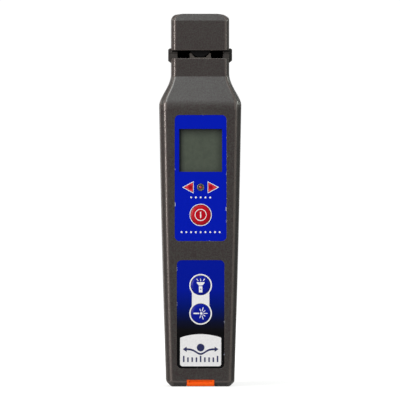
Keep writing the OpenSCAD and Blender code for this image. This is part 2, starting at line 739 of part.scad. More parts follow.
contact_r = 3;
contact_wire_r = 0.25;
contact_turns = 4;
module contact_springs() color("silver") {
    room = contact_room - 2 * plate_t;
    translate([-cell_x, cell_y, tray_low_z + plate_t])
        coil(contact_r, contact_wire_r, room, contact_turns);
    translate([cell_x, cell_y, tray_high_z - plate_t - room])
        coil(contact_r, contact_wire_r, room, contact_turns);
}
module contact_plates() color("silver")
    for (x = [-cell_x, cell_x], z = [tray_low_z, tray_high_z - plate_t])
        box_from([x - plate_half_w, cell_y - plate_half_w, z],
                 [x + plate_half_w, cell_y + plate_half_w, z + plate_t]);

module laser_module() color("#B08A3C") translate([0, port_y, 0]) {
    rod_z(module_r, barrel_high_z, module_high_z);
    rod_z(module_r - wall, module_high_z - over, module_high_z + wall);
}

barrel_flange_w = 1;
barrel_flange_t = 1.5;
module port_barrel() color("silver") translate([0, port_y, 0]) difference() {
    union() {
        rod_z(barrel_r, barrel_low_z, barrel_high_z);
        rod_z(barrel_r + barrel_flange_w, roof_low_z + roof_t, roof_low_z + roof_t + barrel_flange_t);
    }
    rod_z(ferrule_bore_r + sleeve_wall + fit / 2, barrel_low_z - over,
          barrel_low_z + ferrule_bore_len);
    rod_z(ferrule_bore_r / 2, barrel_low_z, barrel_high_z + over);
}

module ferrule_sleeve() color("white") translate([0, port_y, 0]) difference() {
    rod_z(ferrule_bore_r + sleeve_wall, barrel_low_z, barrel_low_z + ferrule_bore_len);
    rod_z(ferrule_bore_r, barrel_low_z - over, barrel_low_z + ferrule_bore_len + over);
}

lamp_rim_w = 0.5;
module torch_lamp() color("#EDEFF2") translate([torch_x, torch_y, 0]) {
    rod_z(torch_r, torch_recess, torch_len);
    rod_z(torch_r + lamp_rim_w, floor_t, floor_t + lamp_rim_w);
}

// Orange dust flap: strap, front lip with a nail recess, and hinge barrel
nail_half_w = 6.4;
nail_low_z = 2;
nail_high_z = 3.2;
module dust_flap() color(flap_orange) {
    lip_back_y = front_y + flap_lip_t;
    strap_top_z = flap_gap + flap_t;
    difference() {
        union() {
            along_x(-flap_half_w, flap_half_w) polygon([
                [front_y + foot_chamfer - flap_gap, flap_gap], [front_y, foot_chamfer],
                [front_y, flap_gap + flap_lip_h], [lip_back_y, flap_gap + flap_lip_h],
                [lip_back_y, strap_top_z], [hinge_y, strap_top_z], [hinge_y, flap_gap]]);
            translate([0, hinge_y, hinge_z]) rod_x(knuckle_r, -flap_half_w, flap_half_w);
        }
        box_from([-nail_half_w, front_y - over, nail_low_z],
                 [nail_half_w, front_y + nail_d, nail_high_z]);
        translate([0, hinge_y, hinge_z])
            rod_x(hinge_pin_r + fit, -flap_half_w - over, flap_half_w + over);
    }
}
pin_grip = 3;
hinge_pin_half = groove_half_w + pin_grip - near;
module flap_pin() color("silver") translate([0, hinge_y, hinge_z])
    rod_x(hinge_pin_r, near - hinge_pin_half, hinge_pin_half - near);

// Plate that fills the inside of the neck or the head, clear of its front bevels
plate_front_y = neck_front_y + wall + near;
module bevelled_plate(half_w, back_y, z0, z1) {
    translate([0, 0, z0]) linear_extrude(z1 - z0) polygon([
        [neck_bevel_w - half_w, plate_front_y], [half_w - neck_bevel_w, plate_front_y],
        [half_w, plate_front_y + neck_bevel_w], [half_w, back_y],
        [-half_w, back_y], [-half_w, plate_front_y + neck_bevel_w]]);
}

// Fixed jaw: floor of the slot, end walls on the neck's rim, and the lower ears
ear_face_z = neck_top_z - ear_drop;
module lower_jaw() color(jaw_grey) difference() {
    union() {
        bevelled_plate(neck_inner_half - near, jaw_back_y, jaw_low_z, slot_floor_z - liner_t);
        both_sides() box_from([slot_half_w, jaw_front_y + neck_bevel_w,
                               slot_floor_z - liner_t - near],
                              [neck_inner_half - near, slot_back_y, seam_z]);
        both_sides() box_from([slot_half_w, jaw_front_y, neck_top_z + near],
                              [jaw_side, slot_back_y, seam_z]);
        // Lower ears, which hang over the neck's sides
        both_sides() along_y(-ear_half_d, slot_back_y) polygon([
            [jaw_side + fit, seam_z], [jaw_side - wall, seam_z],
            [jaw_side - wall, neck_top_z + near], [jaw_side + fit, neck_top_z + near],
            [jaw_side + fit, ear_face_z], [jaw_side + ear_out, ear_face_z + ear_chamfer],
            [jaw_side + ear_out, seam_z]]);
        // Block behind the slot
        box_from([near - neck_inner_half, slot_back_y + liner_t, slot_floor_z - liner_t - near],
                 [neck_inner_half - near, jaw_back_y, collar_z]);
        translate([0, spring_y, 0]) rod_z(spigot_r, jaw_low_z - spigot_len, jaw_low_z + over);
    }
    for (x = [-diode_x, diode_x]) translate([x, diode_y, 0])
        rod_z(diode_r + near, jaw_low_z - over, slot_floor_z + over);
}

module slot_liner() color(black_plastic) difference() {
    union() {
        box_from([fit - slot_half_w, plate_front_y + near, slot_floor_z - liner_t],
                 [slot_half_w - fit, slot_back_y + liner_t, slot_floor_z]);
        box_from([fit - slot_half_w, slot_back_y, slot_floor_z - liner_t],
                 [slot_half_w - fit, slot_back_y + liner_t, head_low_z - near]);
    }
    for (x = [-diode_x, diode_x]) translate([x, diode_y, 0])
        rod_z(diode_r + near, slot_floor_z - liner_t - over, slot_floor_z + over);
}

diode_x = 4;
diode_y = -1.5;
saddle_front_y = plate_front_y + near;
module saddle() color("#6A6663") difference() {
    along_y(saddle_front_y, slot_back_y) polygon([
        [-saddle_half_w, slot_floor_z], [saddle_half_w, slot_floor_z],
        [saddle_half_w, slot_floor_z + saddle_h],
        [saddle_half_w - prong_tip, slot_floor_z + saddle_h],
        [notch_half_w, slot_floor_z + notch_floor_t],
        [-notch_half_w, slot_floor_z + notch_floor_t],
        [prong_tip - saddle_half_w, slot_floor_z + saddle_h],
        [-saddle_half_w, slot_floor_z + saddle_h]]);
    for (x = [-diode_x, diode_x]) translate([x, diode_y, 0])
        rod_z(diode_r + near, slot_floor_z - over, slot_floor_z + saddle_h + over);
}

detector_t = 1;
detector_half_w = 9;
detector_back_y = 2;
module photodiodes() color("#1C1C22") for (x = [-diode_x, diode_x])
    translate([x, diode_y, 0]) rod_z(diode_r, jaw_low_z, slot_floor_z + notch_floor_t);
module detector_board() color(board_green)
    box_from([-detector_half_w, plate_front_y, jaw_low_z - detector_t],
             [detector_half_w, detector_back_y, jaw_low_z]);

module return_spring() color("silver") translate([0, spring_y, spring_low_z])
    coil(spring_r, spring_wire_r, spring_len, spring_turns);

// Carriage: joins the thumb slide to the head and carries the foot of the return spring
flange_t = 2;
flange_front_y = 0;
jaw_screw_x = 5.5;
jaw_screw_y = 4;
jaw_screw_len = 3.6;
carriage_back_y = carriage_front_y + carriage_t;
module carriage() color(jaw_grey) difference() {
    union() {
        box_from([-carriage_half_w, carriage_front_y, spring_low_z - foot_t],
                 [carriage_half_w, carriage_back_y, upper_plate_high_z + flange_t]);
        box_from([-carriage_half_w, flange_front_y, upper_plate_high_z],
                 [carriage_half_w, carriage_back_y, upper_plate_high_z + flange_t]);
        box_from([-spring_r - foot_t, spring_y - spring_r - foot_t / 2, spring_low_z - foot_t],
                 [spring_r + foot_t, carriage_back_y, spring_low_z]);
        translate([0, spring_y, 0]) rod_z(spigot_r, spring_low_z - near, spring_low_z + spigot_len);
    }
    both_sides() translate([jaw_screw_x, jaw_screw_y, 0])
        rod_z(small_screw_r + fit, upper_plate_high_z - over, upper_plate_high_z + flange_t + over);
    translate([0, 0, (stem_low_z + stem_high_z) / 2])
        rod_y(small_screw_r + fit, carriage_front_y - over, carriage_back_y + over);
}

// Thumb slide: ribbed plate on the rear face, with a stem through the slot
slide_plate_t = 0.8;
slide_rib_half = 0.6;
slide_edge_r = 2;
module thumb_slide() color(black_plastic) {
    face_y = total_d / 2;
    plate_y = rear_y + near;
    difference() {
        union() {
            along_y(plate_y, plate_y + slide_plate_t)
                round_rect(slide_half_w, slide_low_z, slide_low_z + slide_len, slide_edge_r);
            box_from([near - slide_slot_half_w, carriage_back_y, stem_low_z],
                     [slide_slot_half_w - near, plate_y + near, stem_high_z]);
            for (i = [1:slide_ribs]) let (z = slide_low_z + slide_len * i / (slide_ribs + 1))
                along_x(edge_soft - slide_half_w, slide_half_w - edge_soft) polygon([
                    [plate_y, z - slide_rib_half], [face_y, z - slide_rib_half / 2],
                    [face_y, z + slide_rib_half / 2], [plate_y, z + slide_rib_half]]);
        }
        translate([0, 0, (stem_low_z + stem_high_z) / 2])
            rod_y(small_screw_r - fit, carriage_back_y - over, plate_y);
    }
}
slide_screw_len = carriage_t + wall;
module slide_screw() color("silver")
    translate([0, carriage_front_y, (stem_low_z + stem_high_z) / 2]) mirror([0, 1, 0])
        small_screw(slide_screw_len);

// Moving jaw: plate in the head, end blocks over the lower jaw's end walls, upper ears
upper_jaw_half = neck_inner_half - near;
module upper_jaw() color(jaw_grey) difference() {
    union() {
        bevelled_plate(upper_jaw_half, carriage_front_y, upper_plate_low_z, upper_plate_high_z);
        both_sides() box_from([slot_half_w, jaw_front_y + neck_bevel_w, seam_z + jaw_gap],
                              [upper_jaw_half, slot_back_y, upper_plate_low_z + near]);
        both_sides() box_from([slot_half_w, jaw_front_y, seam_z + jaw_gap],
                              [jaw_side, slot_back_y, head_low_z - near]);
        both_sides() along_y(-ear_half_d, slot_back_y) polygon([
            [jaw_side - wall, seam_z + jaw_gap], [jaw_side + ear_out, seam_z + jaw_gap],
            [jaw_side + ear_out, head_low_z + ear_rise / 2],
            [jaw_side + ear_out / 2, head_low_z + ear_rise],
            [jaw_side + fit, head_low_z + ear_rise],
            [jaw_side + fit, head_low_z - near], [jaw_side - wall, head_low_z - near]]);
    }
    both_sides() translate([jaw_screw_x, jaw_screw_y, 0])
        rod_z(small_screw_r - fit, upper_plate_low_z + liner_t, upper_plate_high_z + over);
    both_sides() translate([head_screw_x, head_screw_y, 0]) {
        rod_z(small_screw_r + fit, upper_plate_low_z - over, upper_plate_high_z + over);
        rod_z(small_head_r + near, upper_plate_low_z - over, upper_plate_low_z + small_head_t);
    }
}

mandrel_z = slot_floor_z + notch_floor_t + fibre_gap + mandrel_r;
module mandrel() color(black_plastic) {
    box_from([fit - slot_half_w, plate_front_y + near, ceiling_z],
             [slot_half_w - fit, slot_back_y, upper_plate_low_z]);
    intersection() {
        translate([0, 0, mandrel_z]) rod_y(mandrel_r, saddle_front_y, slot_back_y - near);
        box_from([-mandrel_r, saddle_front_y - over, 0],
                 [mandrel_r, slot_back_y, upper_plate_low_z]);
    }
}

// Head: hollow cap with a sloped brow and round upper corners
head_screw_x = 10;
head_screw_y = -3;
head_screw_len = 7;
head_steps = 5;
head_boss_r = 2.2;
head_round_z = total_h - head_round_h;
function head_station(z, round_t, brow_t, inset) =
    let (fall = 1 - sqrt(1 - pow(clamp(round_t), 2)),
         flat = outline(neck_w / 2 - head_round_w * fall - inset,
                        neck_front_y + head_brow_d * brow_t + inset,
                        rear_y - head_round_h * fall - inset,
                        neck_bevel_w - bevel_inset_share * inset, rear_edge_r - inset))
    [for (p = flat) [p[0], p[1], z]];
module head_form() {
    skin(concat([head_station(head_low_z, 0, 0, 0)],
        [for (i = [0:head_steps]) let (t = sin(90 * i / head_steps),
            z = min(head_round_z, total_h - head_brow_h) + max(head_round_h, head_brow_h) * t)
            head_station(z, (z - head_round_z) / head_round_h,
                         clamp((z - total_h + head_brow_h) / head_brow_h), 0)]));
}
module head_room() {
    skin([head_station(head_low_z - over, 0, 0, wall),
          head_station(head_round_z - wall / 2, 0, 0, wall),
          head_station(total_h - wall, 1 / 2, 1 / 2, wall)]);
}
module head_cap() color(shell_grey) difference() {
    union() {
        difference() { head_form(); head_room(); }
        both_sides() translate([head_screw_x, head_screw_y, 0])
            rod_z(head_boss_r, upper_plate_high_z, total_h - wall + near);
    }
    both_sides() translate([head_screw_x, head_screw_y, 0])
        rod_z(small_screw_r - fit, upper_plate_high_z - over, upper_plate_high_z + head_screw_len);
}

module jaw_screws() color("silver") both_sides()
    translate([jaw_screw_x, jaw_screw_y, upper_plate_high_z + flange_t]) {
        rod_z(small_head_r, 0, small_head_t);
        rod_z(small_screw_r - fit, -jaw_screw_len, near);
    }
module head_screws() color("silver") both_sides()
    translate([head_screw_x, head_screw_y, upper_plate_low_z]) {
        rod_z(small_head_r, near, small_head_t);
        rod_z(small_screw_r - fit, small_head_t - near, head_screw_len);
    }
screw_len = 9;
module shell_screws() color("#2A2A2A") for (p = screw_places) both_sides()
    translate([p[0], rear_y - wall - screw_head_t, p[1]]) {
        rod_y(screw_head_r, 0, screw_head_t);
        rod_y(screw_r - fit, -screw_len, near);
    }

front_shell();
rear_shell();
battery_door();
upper_panel();
lower_panel();
display_glass();
display_frame();
arrow_lights();
status_lamp();
status_lamp_ring();
power_key();
torch_key();
laser_key();
snap_domes();
main_board();
board_parts();
board_screws();
cell_tray();
cell_left();
cell_right();
contact_springs();
contact_plates();
laser_module();
port_barrel();
ferrule_sleeve();
torch_lamp();
dust_flap();
flap_pin();
lower_jaw();
slot_liner();
saddle();
photodiodes();
detector_board();
return_spring();
carriage();
thumb_slide();
slide_screw();
upper_jaw();
mandrel();
head_cap();
jaw_screws();
head_screws();
shell_screws();
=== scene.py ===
"""Looks of a hand-held optical fibre identifier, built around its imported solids.

Places are in the row frame: X runs across, Y from the keys to the back, Z up from the foot.
Blender works in metres. Sizes in the classes below are in millimetres and turned by MM.
"""

import sys
import functools
import logging
import math
from dataclasses import dataclass, field
from enum import Enum
from typing import Callable, Iterable, Sequence

import bmesh
import bpy
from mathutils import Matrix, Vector


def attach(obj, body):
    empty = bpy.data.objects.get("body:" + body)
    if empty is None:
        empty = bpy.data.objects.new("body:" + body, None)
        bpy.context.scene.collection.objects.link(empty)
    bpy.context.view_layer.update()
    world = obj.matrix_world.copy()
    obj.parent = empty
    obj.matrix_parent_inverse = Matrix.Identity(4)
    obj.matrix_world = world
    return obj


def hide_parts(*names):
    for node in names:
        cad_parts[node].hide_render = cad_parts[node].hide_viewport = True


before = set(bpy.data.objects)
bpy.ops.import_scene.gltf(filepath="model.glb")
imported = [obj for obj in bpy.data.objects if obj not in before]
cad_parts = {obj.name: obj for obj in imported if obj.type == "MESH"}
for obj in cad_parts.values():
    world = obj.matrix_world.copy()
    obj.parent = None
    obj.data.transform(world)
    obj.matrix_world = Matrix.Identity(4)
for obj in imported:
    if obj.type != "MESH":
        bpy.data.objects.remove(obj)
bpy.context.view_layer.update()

LOG = logging.getLogger("scene")
MM = 0.001
WEAR = "wear"

Point2 = tuple[float, float]
Point3 = tuple[float, float, float]
Quad = tuple[float, float, float, float]
Outline = Sequence[Point2]
Piece = bpy.types.Object
Node = bpy.types.Node
Tree = bpy.types.NodeTree
Socket = bpy.types.NodeSocket

# Left and right of the instrument
SIDES = (-1, 1)
# Angles at which the steps of a rounded rim, and the finer ones of a dome, lie
QUARTER = tuple(math.radians(22.5 * i) for i in range(5))
FINE_QUARTER = tuple(math.radians(15 * i) for i in range(1, 7))
# Radius at which turned pieces close on their axis, in millimetres
AXIS_R = 0.02
# No turned ring is narrower than this, since a ring of no size has no faces
TIP_R = 0.01
# Marks of handling are this many grains across
HANDLING = 20


class Body(str, Enum):
    """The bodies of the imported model."""

    ROOT = "root"
    HEAD = "head"
    POWER = "power"
    TORCH = "torch"
    LASER = "laser"
    FLAP = "flap"
    DOOR = "door"


class Operation(str, Enum):
    """What helpers do to the piece that they are combined with."""

    CUT = "DIFFERENCE"
    ADD = "UNION"
    KEEP = "INTERSECT"


# ---- Finishes ----


def linear(hex_colour: str) -> Quad:
    """Turns an sRGB colour such as "#46413F" into Blender's linear colour.

    Args:
        hex_colour: six hexadecimal digits, with a leading hash sign.

    Returns:
        Linear red, green and blue, and an alpha of 1.
    """
    parts = [int(hex_colour[i:i + 2], 16) / 255 for i in (1, 3, 5)]
    turned = [p / 12.92 if p <= 0.04045 else ((p + 0.055) / 1.055) ** 2.4 for p in parts]
    return (*turned, 1.0)


def add_node(tree: Tree, kind: str, settings: dict | None = None,
             inputs: dict | None = None) -> Node:
    """Adds one shader node.

    Args:
        tree: the material's or world's node tree.
        kind: Blender's name for the kind of node, without "ShaderNode".
        settings: the node's attributes and their values.
        inputs: for each input, its value or the socket that feeds it.

    Returns:
        The new node.
    """
    made = tree.nodes.new("ShaderNode" + kind)
    for name, value in (settings or {}).items():
        setattr(made, name, value)
    for name, value in (inputs or {}).items():
        if isinstance(value, Socket):
            tree.links.new(value, made.inputs[name])
        else:
            made.inputs[name].default_value = value
    return made


def set_ramp(node: Node, stops: Sequence[tuple[float, str]]) -> None:
    """Gives a colour ramp its stops.

    Args:
        node: the colour ramp's node.
        stops: each stop's place from 0 to 1 and its sRGB colour.
    """
    elements = node.color_ramp.elements
    while len(elements) < len(stops):
        elements.new(0.5)
    for element, (place, colour) in zip(elements, stops):
        element.position = place
        element.color = linear(colour)


@dataclass(frozen=True)
class Finish:
    """A plain finish: colour with fine variation, grain in the surface, and gloss.

    Args:
        name: the real material's name.
        slot: the record's material slot; not used.
        colour: sRGB colour of the surface.
        second: sRGB colour that the fine variation goes to.
        roughness: roughness of the surface.
        grain: size of the grain, in millimetres.
        depth: depth of the grain, in millimetres.
        metallic: 1 for bare metal.
        specular: strength of the reflection at the surface.
        coat: strength of a clear coat.
        transmission: share of the light that passes through.
        worn_and_highlight: sRGB colour that edges are rubbed to, or nothing. It is paler than
        the surface, partly as wear and partly as a painted highlight along soft edges.
        worn_roughness: roughness of such edges.
        patch: size of the patches in which edges are rubbed, in millimetres.
    """

    name: str
    slot: str
    colour: str
    second: str
    roughness: float
    grain: float = 0.6
    depth: float = 0.02
    metallic: float = 0.0
    specular: float = 0.5
    coat: float = 0.0
    transmission: float = 0.0
    worn_and_highlight: str = ""
    worn_roughness: float = 0.3
    patch: float = 3.0

    def pattern(self, tree: Tree, place: Socket) -> Socket:
        """Fine variation between the two colours.

        Args:
            tree: the material's node tree.
            place: the point on the surface, in metres.

        Returns:
            The socket that gives the colour.
        """
        noise = add_node(tree, "TexNoise", {}, {
            "Vector": place, "Scale": 1 / (self.grain * MM), "Detail": 3.0, "Roughness": 0.6})
        ramp = add_node(tree, "ValToRGB", {}, {"Fac": noise.outputs["Fac"]})
        set_ramp(ramp, ((0.36, self.colour), (0.64, self.second)))
        return ramp.outputs["Color"]

    def relief(self, tree: Tree, place: Socket) -> Socket:
        """Height of the surface's grain, from 0 to 1."""
        noise = add_node(tree, "TexNoise", {}, {
            "Vector": place, "Scale": 2 / (self.grain * MM), "Detail": 2.0})
        return noise.outputs["Fac"]

    def gloss(self, tree: Tree, place: Socket) -> Socket:
        """Roughness with slow variation, as handling gives it.

        Args:
            tree: the material's node tree.
            place: the point on the surface, in metres.

        Returns:
            The socket that gives the roughness.
        """
        noise = add_node(tree, "TexNoise", {}, {
            "Vector": place, "Scale": 1 / (HANDLING * self.grain * MM), "Detail": 2.0})
        ranged = add_node(tree, "MapRange", {}, {
            "Value": noise.outputs["Fac"], "To Min": self.roughness * 0.9,
            "To Max": min(1.0, self.roughness * 1.1)})
        return ranged.outputs["Result"]

    @functools.cache
    def make(self) -> bpy.types.Material:
        """Builds the material, once for each finish.

        Returns:
            The material, with its colour, roughness and relief from nodes.
        """
        material = bpy.data.materials.new(self.name)
        material.use_nodes = True
        tree = material.node_tree
        tree.nodes.clear()
        place = add_node(tree, "TexCoord").outputs["Object"]
        bump = add_node(tree, "Bump", {}, {
            "Strength": 1.0, "Distance": self.depth * MM, "Height": self.relief(tree, place)})
        colour, roughness = self.pattern(tree, place), self.gloss(tree, place)
        if self.worn_and_highlight:
            colour, roughness = self.rub(tree, place, bump, colour, roughness)
        surface = add_node(tree, "BsdfPrincipled", {}, {
            "Base Color": colour, "Roughness": roughness,
            "Normal": bump.outputs["Normal"], "Metallic": self.metallic,
            "Specular IOR Level": self.specular, "Coat Weight": self.coat,
            "Transmission Weight": self.transmission})
        self.extra(tree, surface, place)
        add_node(tree, "OutputMaterial", {}, {"Surface": surface.outputs["BSDF"]})
        return material

    def rub(self, tree: Tree, place: Socket, bump: Node, colour: Socket,
            roughness: Socket) -> tuple[Socket, Socket]:
        """Edges that hands have rubbed: unevenly smoother, and paler, partly as wear and partly as
        a painted highlight.

        Args:
            tree: the material's node tree.
            place: the point on the surface, in metres.
            bump: the bump node, whose grain is rubbed off too.
            colour: the colour without wear.
            roughness: the roughness without wear.

        Returns:
            The colour and the roughness with wear.
        """
        edge = add_node(tree, "Attribute", {"attribute_name": WEAR})
        noise = add_node(tree, "TexNoise", {}, {
            "Vector": place, "Scale": 1 / (self.patch * MM), "Detail": 4.0})
        patches = add_node(tree, "MapRange", {}, {
            "Value": noise.outputs["Fac"], "From Min": 0.3, "From Max": 0.55, "To Min": 0.6})
        amount = add_node(tree, "Math", {"operation": "MULTIPLY"}, {
            0: edge.outputs["Fac"], 1: patches.outputs["Result"]}).outputs["Value"]
        # Paler rubbed edges: partly wear, partly a painted highlight along the soft edges
        paler_with_highlight = add_node(tree, "Mix", {"data_type": "RGBA"}, {
            0: amount, 6: colour, 7: linear(self.worn_and_highlight)})
        smoother = add_node(tree, "Mix", {}, {
            0: amount, 2: roughness, 3: self.worn_roughness})
        left = add_node(tree, "MapRange", {}, {
            "Value": amount, "To Min": 1.0, "To Max": 0.25})
        tree.links.new(left.outputs["Result"], bump.inputs["Strength"])
        return paler_with_highlight.outputs[2], smoother.outputs[0]

    def extra(self, tree: Tree, surface: Node, place: Socket) -> None:
        """What a special finish adds to the surface. A plain one adds nothing."""


@dataclass(frozen=True)
class Graded(Finish):
    """A print whose colour changes with height.

    Args:
        low: height at which the ramp begins, in millimetres.
        high: height at which the ramp ends, in millimetres.
        stops: the ramp's places from 0 to 1 and their sRGB colours.
    """

    low: float = 0.0
    high: float = 1.0
    stops: tuple[tuple[float, str], ...] = ()

    def pattern(self, tree: Tree, place: Socket) -> Socket:
        """Colour that follows the height over the foot.

        Args:
            tree: the material's node tree.
            place: the point on the surface, in metres.

        Returns:
            The socket that gives the colour.
        """
        parts = add_node(tree, "SeparateXYZ", {}, {"Vector": place})
        ranged = add_node(tree, "MapRange", {}, {
            "Value": parts.outputs["Z"], "From Min": self.low * MM, "From Max": self.high * MM})
        ramp = add_node(tree, "ValToRGB", {}, {"Fac": ranged.outputs["Result"]})
        set_ramp(ramp, self.stops)
        return ramp.outputs["Color"]


@dataclass(frozen=True)
class Overlay(Graded):
    """A printed film with round corners, whose print is chipped here and there along its rim.

    Args:
        rim: half its width, its lower and upper edge and its corners' radius, in millimetres.
        bare: sRGB colour of the bare film where the print is chipped.
        chip: how far chips reach in from the rim, in millimetres.
        chip_pitch: distance over which chips come and go, in millimetres.
    """

    rim: Quad = (1.0, 0.0, 1.0, 0.1)
    bare: str = "#A9B2CE"
    chip: float = 0.45
    chip_pitch: float = 4.0

    def pattern(self, tree: Tree, place: Socket) -> Socket:
        """The print, with bare film where a chip is.

        Args:
            tree: the material's node tree.
            place: the point on the surface, in metres.

        Returns:
            The socket that gives the colour.
        """
        half_w, low, high, r = (v * MM for v in self.rim)
        printed = super().pattern(tree, place)
        moved = add_node(tree, "VectorMath", {"operation": "SUBTRACT"}, {
            0: place, 1: (0, 0, (low + high) / 2)})
        flat = add_node(tree, "VectorMath", {"operation": "MULTIPLY"}, {
            0: moved.outputs["Vector"], 1: (1, 0, 1)})
        folded = add_node(tree, "VectorMath", {"operation": "ABSOLUTE"}, {
            0: flat.outputs["Vector"]})
        over = add_node(tree, "VectorMath", {"operation": "SUBTRACT"}, {
            0: folded.outputs["Vector"], 1: (half_w - r, 0, (high - low) / 2 - r)})
        corner = add_node(tree, "VectorMath", {"operation": "MAXIMUM"}, {
            0: over.outputs["Vector"], 1: (0, 0, 0)})
        away = add_node(tree, "VectorMath", {"operation": "LENGTH"}, {
            0: corner.outputs["Vector"]})
        noise = add_node(tree, "TexNoise", {}, {
            "Vector": place, "Scale": 1 / (self.chip_pitch * MM)})
        reach = add_node(tree, "MapRange", {}, {
            "Value": noise.outputs["Fac"], "From Min": 0.63, "From Max": 0.71,
            "To Min": 0.0, "To Max": self.chip * MM})
        edge = add_node(tree, "Math", {"operation": "ADD"}, {
            0: away.outputs["Value"], 1: reach.outputs["Result"]})
        chipped = add_node(tree, "Math", {"operation": "GREATER_THAN"}, {
            0: edge.outputs["Value"], 1: r})
        mixed = add_node(tree, "Mix", {"data_type": "RGBA"}, {
            0: chipped.outputs["Value"], 6: printed, 7: linear(self.bare)})
        return mixed.outputs[2]


@dataclass(frozen=True)
class PaintedShadeGlass(Finish):
    """Display glass with painted shade: it darkens towards its window's four edges, where the edges
    cast shadow on it.

    Args:
        window: half the window's width and the height of its middle, in millimetres.
        painted_shade: at the left, the right, the foot and the top, how far the painted shade of
            the window's edges reaches in, in millimetres, and the share of light that it leaves at
            the edge.
        dark: sRGB colour that the painted shade darkens to.
    """

    window: Point2 = (1.0, 0.0)
    painted_shade: tuple[Point2, Point2, Point2, Point2] = ((1.0, 0.5),) * 4
    dark: str = "#14171A"

    def pattern(self, tree: Tree, place: Socket) -> Socket:
        """The glass, with painted shade that darkens it near the window's four edges.

        Args:
            tree: the material's node tree.
            place: the point on the surface, in metres.

        Returns:
            The socket that gives the colour.
        """
        parts = add_node(tree, "SeparateXYZ", {}, {"Vector": place})
        half, middle = self.window
        spans = (("X", -half, 1), ("X", half, -1),
                 ("Z", middle - half, 1), ("Z", middle + half, -1))
        light = None
        # Each edge adds a ramp of painted shade, and the ramps multiply
        for (axis, edge, inwards), (reach, left) in zip(spans, self.painted_shade):
            step = add_node(tree, "MapRange", {"interpolation_type": "SMOOTHSTEP"}, {
                "Value": parts.outputs[axis], "From Min": edge * MM,
                "From Max": (edge + inwards * reach) * MM, "To Min": left}).outputs["Result"]
            light = step if light is None else add_node(
                tree, "Math", {"operation": "MULTIPLY"}, {
                    0: light, 1: step}).outputs["Value"]
        mixed = add_node(tree, "Mix", {"data_type": "RGBA"}, {
            0: light, 6: linear(self.dark), 7: super().pattern(tree, place)})
        return mixed.outputs[2]


@dataclass(frozen=True)
class PaintedGlow(Finish):
    """A coloured lens with a painted glow: it gives off a little light of its own colour.

    Args:
        glow: strength of the painted glow.
    """

    glow: float = 0.1

    def extra(self, tree: Tree, surface: Node, place: Socket) -> None:
        """Adds the painted glow."""
        surface.inputs["Emission Color"].default_value = linear(self.colour)
        surface.inputs["Emission Strength"].default_value = self.glow


@dataclass(frozen=True)
class Centred(PaintedGlow):
    """A clear lens on an axis along Y, whose colour changes with the distance from the axis.

    Args:
        axis: the axis's place, at the right and mirrored at the left, and its height, in
            millimetres.
        reach: distance at which the ramp ends, in millimetres.
        stops: the ramp's places from 0 to 1 and their sRGB colours.
    """

    axis: Point2 = (0.0, 0.0)
    reach: float = 1.0
    stops: tuple[tuple[float, str], ...] = ()

    def pattern(self, tree: Tree, place: Socket) -> Socket:
        """Colour that follows the distance from the axis.

        Args:
            tree: the material's node tree.
            place: the point on the surface, in metres.

        Returns:
            The socket that gives the colour.
        """
        folded = add_node(tree, "VectorMath", {"operation": "ABSOLUTE"}, {0: place})
        flat = add_node(tree, "VectorMath", {"operation": "MULTIPLY"}, {
            0: folded.outputs["Vector"], 1: (1, 0, 1)})
        away = add_node(tree, "VectorMath", {"operation": "DISTANCE"}, {
            0: flat.outputs["Vector"], 1: (self.axis[0] * MM, 0, self.axis[1] * MM)})
        ranged = add_node(tree, "MapRange", {}, {
            "Value": away.outputs["Value"], "From Max": self.reach * MM})
        ramp = add_node(tree, "ValToRGB", {}, {"Fac": ranged.outputs["Result"]})
        set_ramp(ramp, self.stops)
        return ramp.outputs["Color"]

    def extra(self, tree: Tree, surface: Node, place: Socket) -> None:
        """Lets the painted glow take the ramp's colour, so the middle glows in its own colour.

        Args:
            tree: the material's node tree.
            surface: the material's shader node.
            place: the point on the surface, in metres.
        """
        super().extra(tree, surface, place)
        colour = surface.inputs["Base Color"].links[0].from_socket
        tree.links.new(colour, surface.inputs["Emission Color"])


@dataclass(frozen=True)
class Brushed(Finish):
    """Turned or drawn metal, whose grain is stretched along one direction.

    Args:
        stretch: how many times longer than wide the grain is, along X, Y and Z.
    """

    stretch: Point3 = (1.0, 1.0, 12.0)

    def relief(self, tree: Tree, place: Socket) -> Socket:
        """Height of the drawn grain.

        Args:
            tree: the material's node tree.
            place: the point on the surface, in metres.

        Returns:
            The socket that gives the height.
        """
        mapped = add_node(tree, "Mapping", {}, {
            "Vector": place, "Scale": tuple(1 / s for s in self.stretch)})
        noise = add_node(tree, "TexNoise", {}, {
            "Vector": mapped.outputs["Vector"], "Scale": 1 / (self.grain * MM), "Detail": 2.0})
        return noise.outputs["Fac"]


# Moulded ABS of the housing: dark warm grey with the sparkle of spark-eroded grain
# Its soft edges go paler, partly as wear and partly as a painted highlight along them
SHELL = Finish("moulded_grey_abs", "shell_plastic", "#2A1D20", "#3A3A37", 0.43, 0.7, 0.045,
               specular=0.6, worn_and_highlight="#5A5350", worn_roughness=0.24)
# Acetal of the jaws: a little darker, smoother and slightly greenish
JAW = Finish("grey_acetal", "jaw_plastic", "#292624", "#363331", 0.48, 0.5, 0.02)
# Black acetal of the slide, the tray, the display's frame and the mandrel: fine gloss
BLACK = Finish("black_acetal", "black_plastic", "#08080A", "#101012", 0.4, 0.4, 0.01,
               specular=0.2)
# Matt black foam-backed lining of the slot, which swallows light
LINING = Finish("matt_black_lining", "black_plastic", "#040404", "#080809", 0.8, 0.4, 0.02,
                specular=0.15)
# Grey acetal of the saddle that holds the fibre: paler and more even than the housing
SADDLE = Finish("saddle_acetal", "grey_plastic", "#3A3633", "#4C4844", 0.5, 0.4, 0.01)
# Printed polyester overlay: even deep blue, slightly glossy
PANEL = Overlay("blue_overlay", "printed_panel", "#0018B0", "#0016A8", 0.32, 1.5, 0.006,
                specular=0.12, rim=(14.12, 79.2, 147.9, 2.6),
                stops=((0.0, "#0017AC"), (1.0, "#0018B0")))
